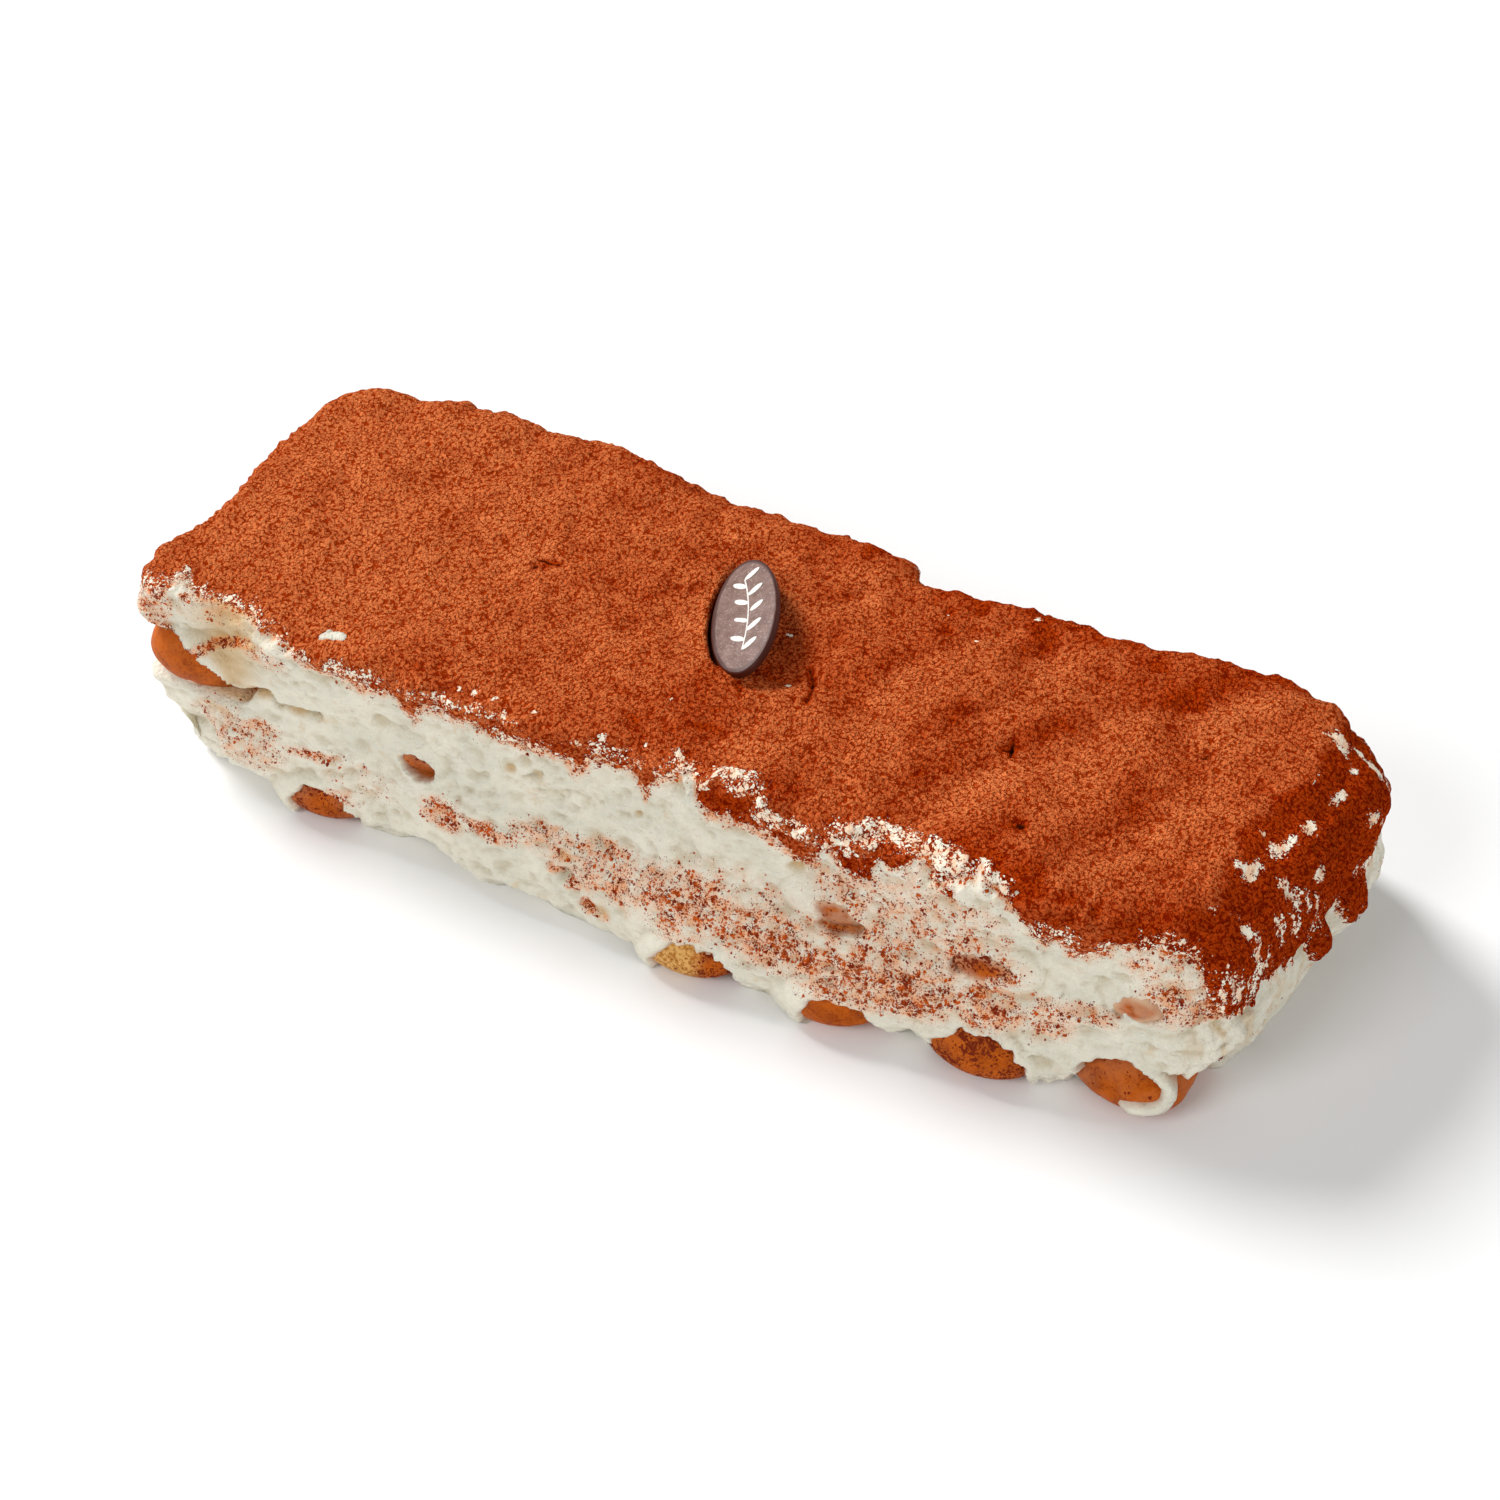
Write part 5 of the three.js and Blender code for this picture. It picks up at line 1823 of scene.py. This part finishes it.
# %% [markdown]
# ## A printed sprig with Geometry Nodes
# The plaque carries a print of white cocoa butter. A plain sprig serves: one bent stem, and leaves
# in turn to its left and right. Leaves that repeat along a path are what Geometry Nodes are for: the
# stem is cut into points, a leaf is set on each one, and every other one is turned the other way.

# %% Stem and leaves
STEM_BEND, LEAF_TURN, LEAF_SHAPE = 0.22, 0.95, (0.36, 1.0, 0.06)


def sprig_stem(tree, length):
    half = times(tree, length, 0.5)
    low = add_node(tree, "ShaderNodeCombineXYZ", {"Y": times(tree, half, -1.0)}).outputs[0]
    high = add_node(tree, "ShaderNodeCombineXYZ", {"Y": half}).outputs[0]
    bend = add_node(tree, "ShaderNodeCombineXYZ", {"X": times(tree, half, STEM_BEND)}).outputs[0]
    sockets = {"Start": low, "Middle": bend, "End": high}
    return add_node(tree, "GeometryNodeCurveQuadraticBezier", sockets).outputs[0]


def sprig_leaves(tree, stem, count, size):
    joints = add_node(tree, "GeometryNodeCurveToPoints", {"Curve": stem, "Count": count})
    odd = maths(tree, "MODULO", add_node(tree, "GeometryNodeInputIndex").outputs[0], 2.0)
    turn = minus(tree, times(tree, odd, 2 * LEAF_TURN), LEAF_TURN)
    blob = add_node(tree, "GeometryNodeMeshIcoSphere", {"Radius": 1.0, "Subdivisions": 3})
    leaf = add_node(tree, "GeometryNodeTransform", {
        "Geometry": blob.outputs[0], "Translation": (0.0, 1.0, 0.0), "Scale": LEAF_SHAPE,
    })
    return add_node(tree, "GeometryNodeInstanceOnPoints", {
        "Points": joints.outputs["Points"], "Instance": leaf.outputs[0],
        "Rotation": add_node(tree, "ShaderNodeCombineXYZ", {"Z": turn}).outputs[0],
        "Scale": add_node(tree, "ShaderNodeCombineXYZ", {"X": size, "Y": size, "Z": size}).outputs[0],
    }).outputs[0]


print("leaves turn", round(math.degrees(LEAF_TURN)), "degrees to each side")

# %% Sprig tree
SPRIG_SIZES = {"Length": "Float", "Leaves": "Int", "Leaf size": "Float", "Material": "Material"}
STEM_RADIUS = 0.22 * MM


def sprig_tree():
    tree, inputs, source = new_tree("printed_sprig", SPRIG_SIZES)
    stem = sprig_stem(tree, source["Length"])
    thin = add_node(tree, "GeometryNodeCurvePrimitiveCircle", {"Resolution": 8, "Radius": STEM_RADIUS})
    tube = add_node(tree, "GeometryNodeCurveToMesh", {
        "Curve": stem, "Profile Curve": thin.outputs[0], "Fill Caps": True,
    })
    whole = add_node(tree, "GeometryNodeJoinGeometry")
    tree.links.new(sprig_leaves(tree, stem, source["Leaves"], source["Leaf size"]), whole.inputs[0])
    tree.links.new(tube.outputs[0], whole.inputs[0])
    finish_tree(tree, whole.outputs[0], source["Material"])
    return tree, inputs


sprig_nodes, sprig_inputs = sprig_tree()
print("inputs of the sprig tree:", list(sprig_inputs))

# %% Printed sprig
SPRIG_SINK, SPRIG_SQUASH = 0.85, 0.5
PRINT_WORN, PRINT_WHITE = colour(196, 182, 174), colour(240, 236, 230)


def print_material():
    made, tree = new_material("cocoa_butter_print")
    worn = ramp(tree, noise(tree, millimetres(tree), 1.4, 3.0, 0.6), 0.25, 0.5)
    painted = blend_colours(tree, worn, PRINT_WORN, PRINT_WHITE)
    finish_material(tree, {"Base Color": painted, "Roughness": 0.5})
    return made


sprig_values = {"Length": 25 * MM, "Leaves": 9, "Leaf size": 2.4 * MM, "Material": print_material()}
empty = bpy.data.meshes.new("empty")
sprig_mesh = made_by_nodes("plaque_sprig", empty, sprig_nodes, sprig_inputs, sprig_values)
on_face = Matrix.Translation((0, 0, (PLAQUE_THICKNESS / 2 + SPRIG_SINK * PLAQUE_DOME) * MM))
sprig_mesh.transform(plaque_matrix @ on_face @ Matrix.Diagonal((1, 1, SPRIG_SQUASH, 1)))
piece("plaque_sprig", sprig_mesh, "chocolate")

# %% [markdown]
# ## Floor, light and camera
# A pale floor and soft light, as in a food studio: a wide lamp far up to the left, which makes the
# short shadow beside the plaque, deepened there by painted shadow on the cocoa, weaker ones in front
# and to the right that open up the sides, and a bright room. The camera looks down at 46 degrees
# from the front right.

# %% Floor
FLOOR_HALF = 3.0
floor_mesh = bpy.data.meshes.new("studio_floor")
corners = [(FLOOR_HALF * u, FLOOR_HALF * v, 0) for u, v in ((-1, -1), (1, -1), (1, 1), (-1, 1))]
floor_mesh.from_pydata(corners, [], [(0, 1, 2, 3)])
floor = bpy.data.objects.new("studio_floor", floor_mesh)
bpy.context.scene.collection.objects.link(floor)
floor_finish, floor_tree = new_material("pale_floor")
finish_material(floor_tree, {"Base Color": (0.93, 0.93, 0.93, 1), "Roughness": 0.9})
paint(floor_finish, floor)

# %% Light
# Each lamp: the direction it shines from, its width in degrees and its strength
LAMPS = {
    "key_light": ((-0.8, 0.25, 0.7), 20, 2.7),
    "front_light": ((-0.5, -0.8, 0.75), 25, 0.97),
    "right_light": ((0.9, -0.35, 0.45), 40, 0.65),
}
ROOM_STRENGTH = 0.33

for name, (place, wide, strength) in LAMPS.items():
    lamp = bpy.data.lights.new(name, "SUN")
    lamp.angle = math.radians(wide)
    lamp.energy = strength
    holder = bpy.data.objects.new(name, lamp)
    holder.location = place
    holder.rotation_euler = (-Vector(place)).to_track_quat("-Z", "Y").to_euler()
    bpy.context.scene.collection.objects.link(holder)
room = bpy.data.worlds.new("bright_room")
room.use_nodes = True
background = room.node_tree.nodes["Background"]
background.inputs["Color"].default_value = (1, 1, 1, 1)
background.inputs["Strength"].default_value = ROOM_STRENGTH
bpy.context.scene.world = room
bpy.context.scene.view_settings.view_transform = "Standard"
print("lamps:", list(LAMPS))

# %% Camera
CAMERA_PLACE = Vector((0.18325, -0.38144, 0.45692))
CAMERA_AIM = Vector((0.00007, -0.00166, 0.02333))
LENS_LENGTH, SENSOR_WIDTH = 57.6, 36.0
lens = bpy.data.cameras.new("camera")
lens.lens = LENS_LENGTH
lens.sensor_width = SENSOR_WIDTH
camera = bpy.data.objects.new("camera", lens)
camera.location = CAMERA_PLACE
camera.rotation_euler = (CAMERA_AIM - CAMERA_PLACE).to_track_quat("-Z", "Y").to_euler()
bpy.context.scene.collection.objects.link(camera)
bpy.context.scene.camera = camera
print("camera distance:", round((CAMERA_AIM - CAMERA_PLACE).length, 3), "m")
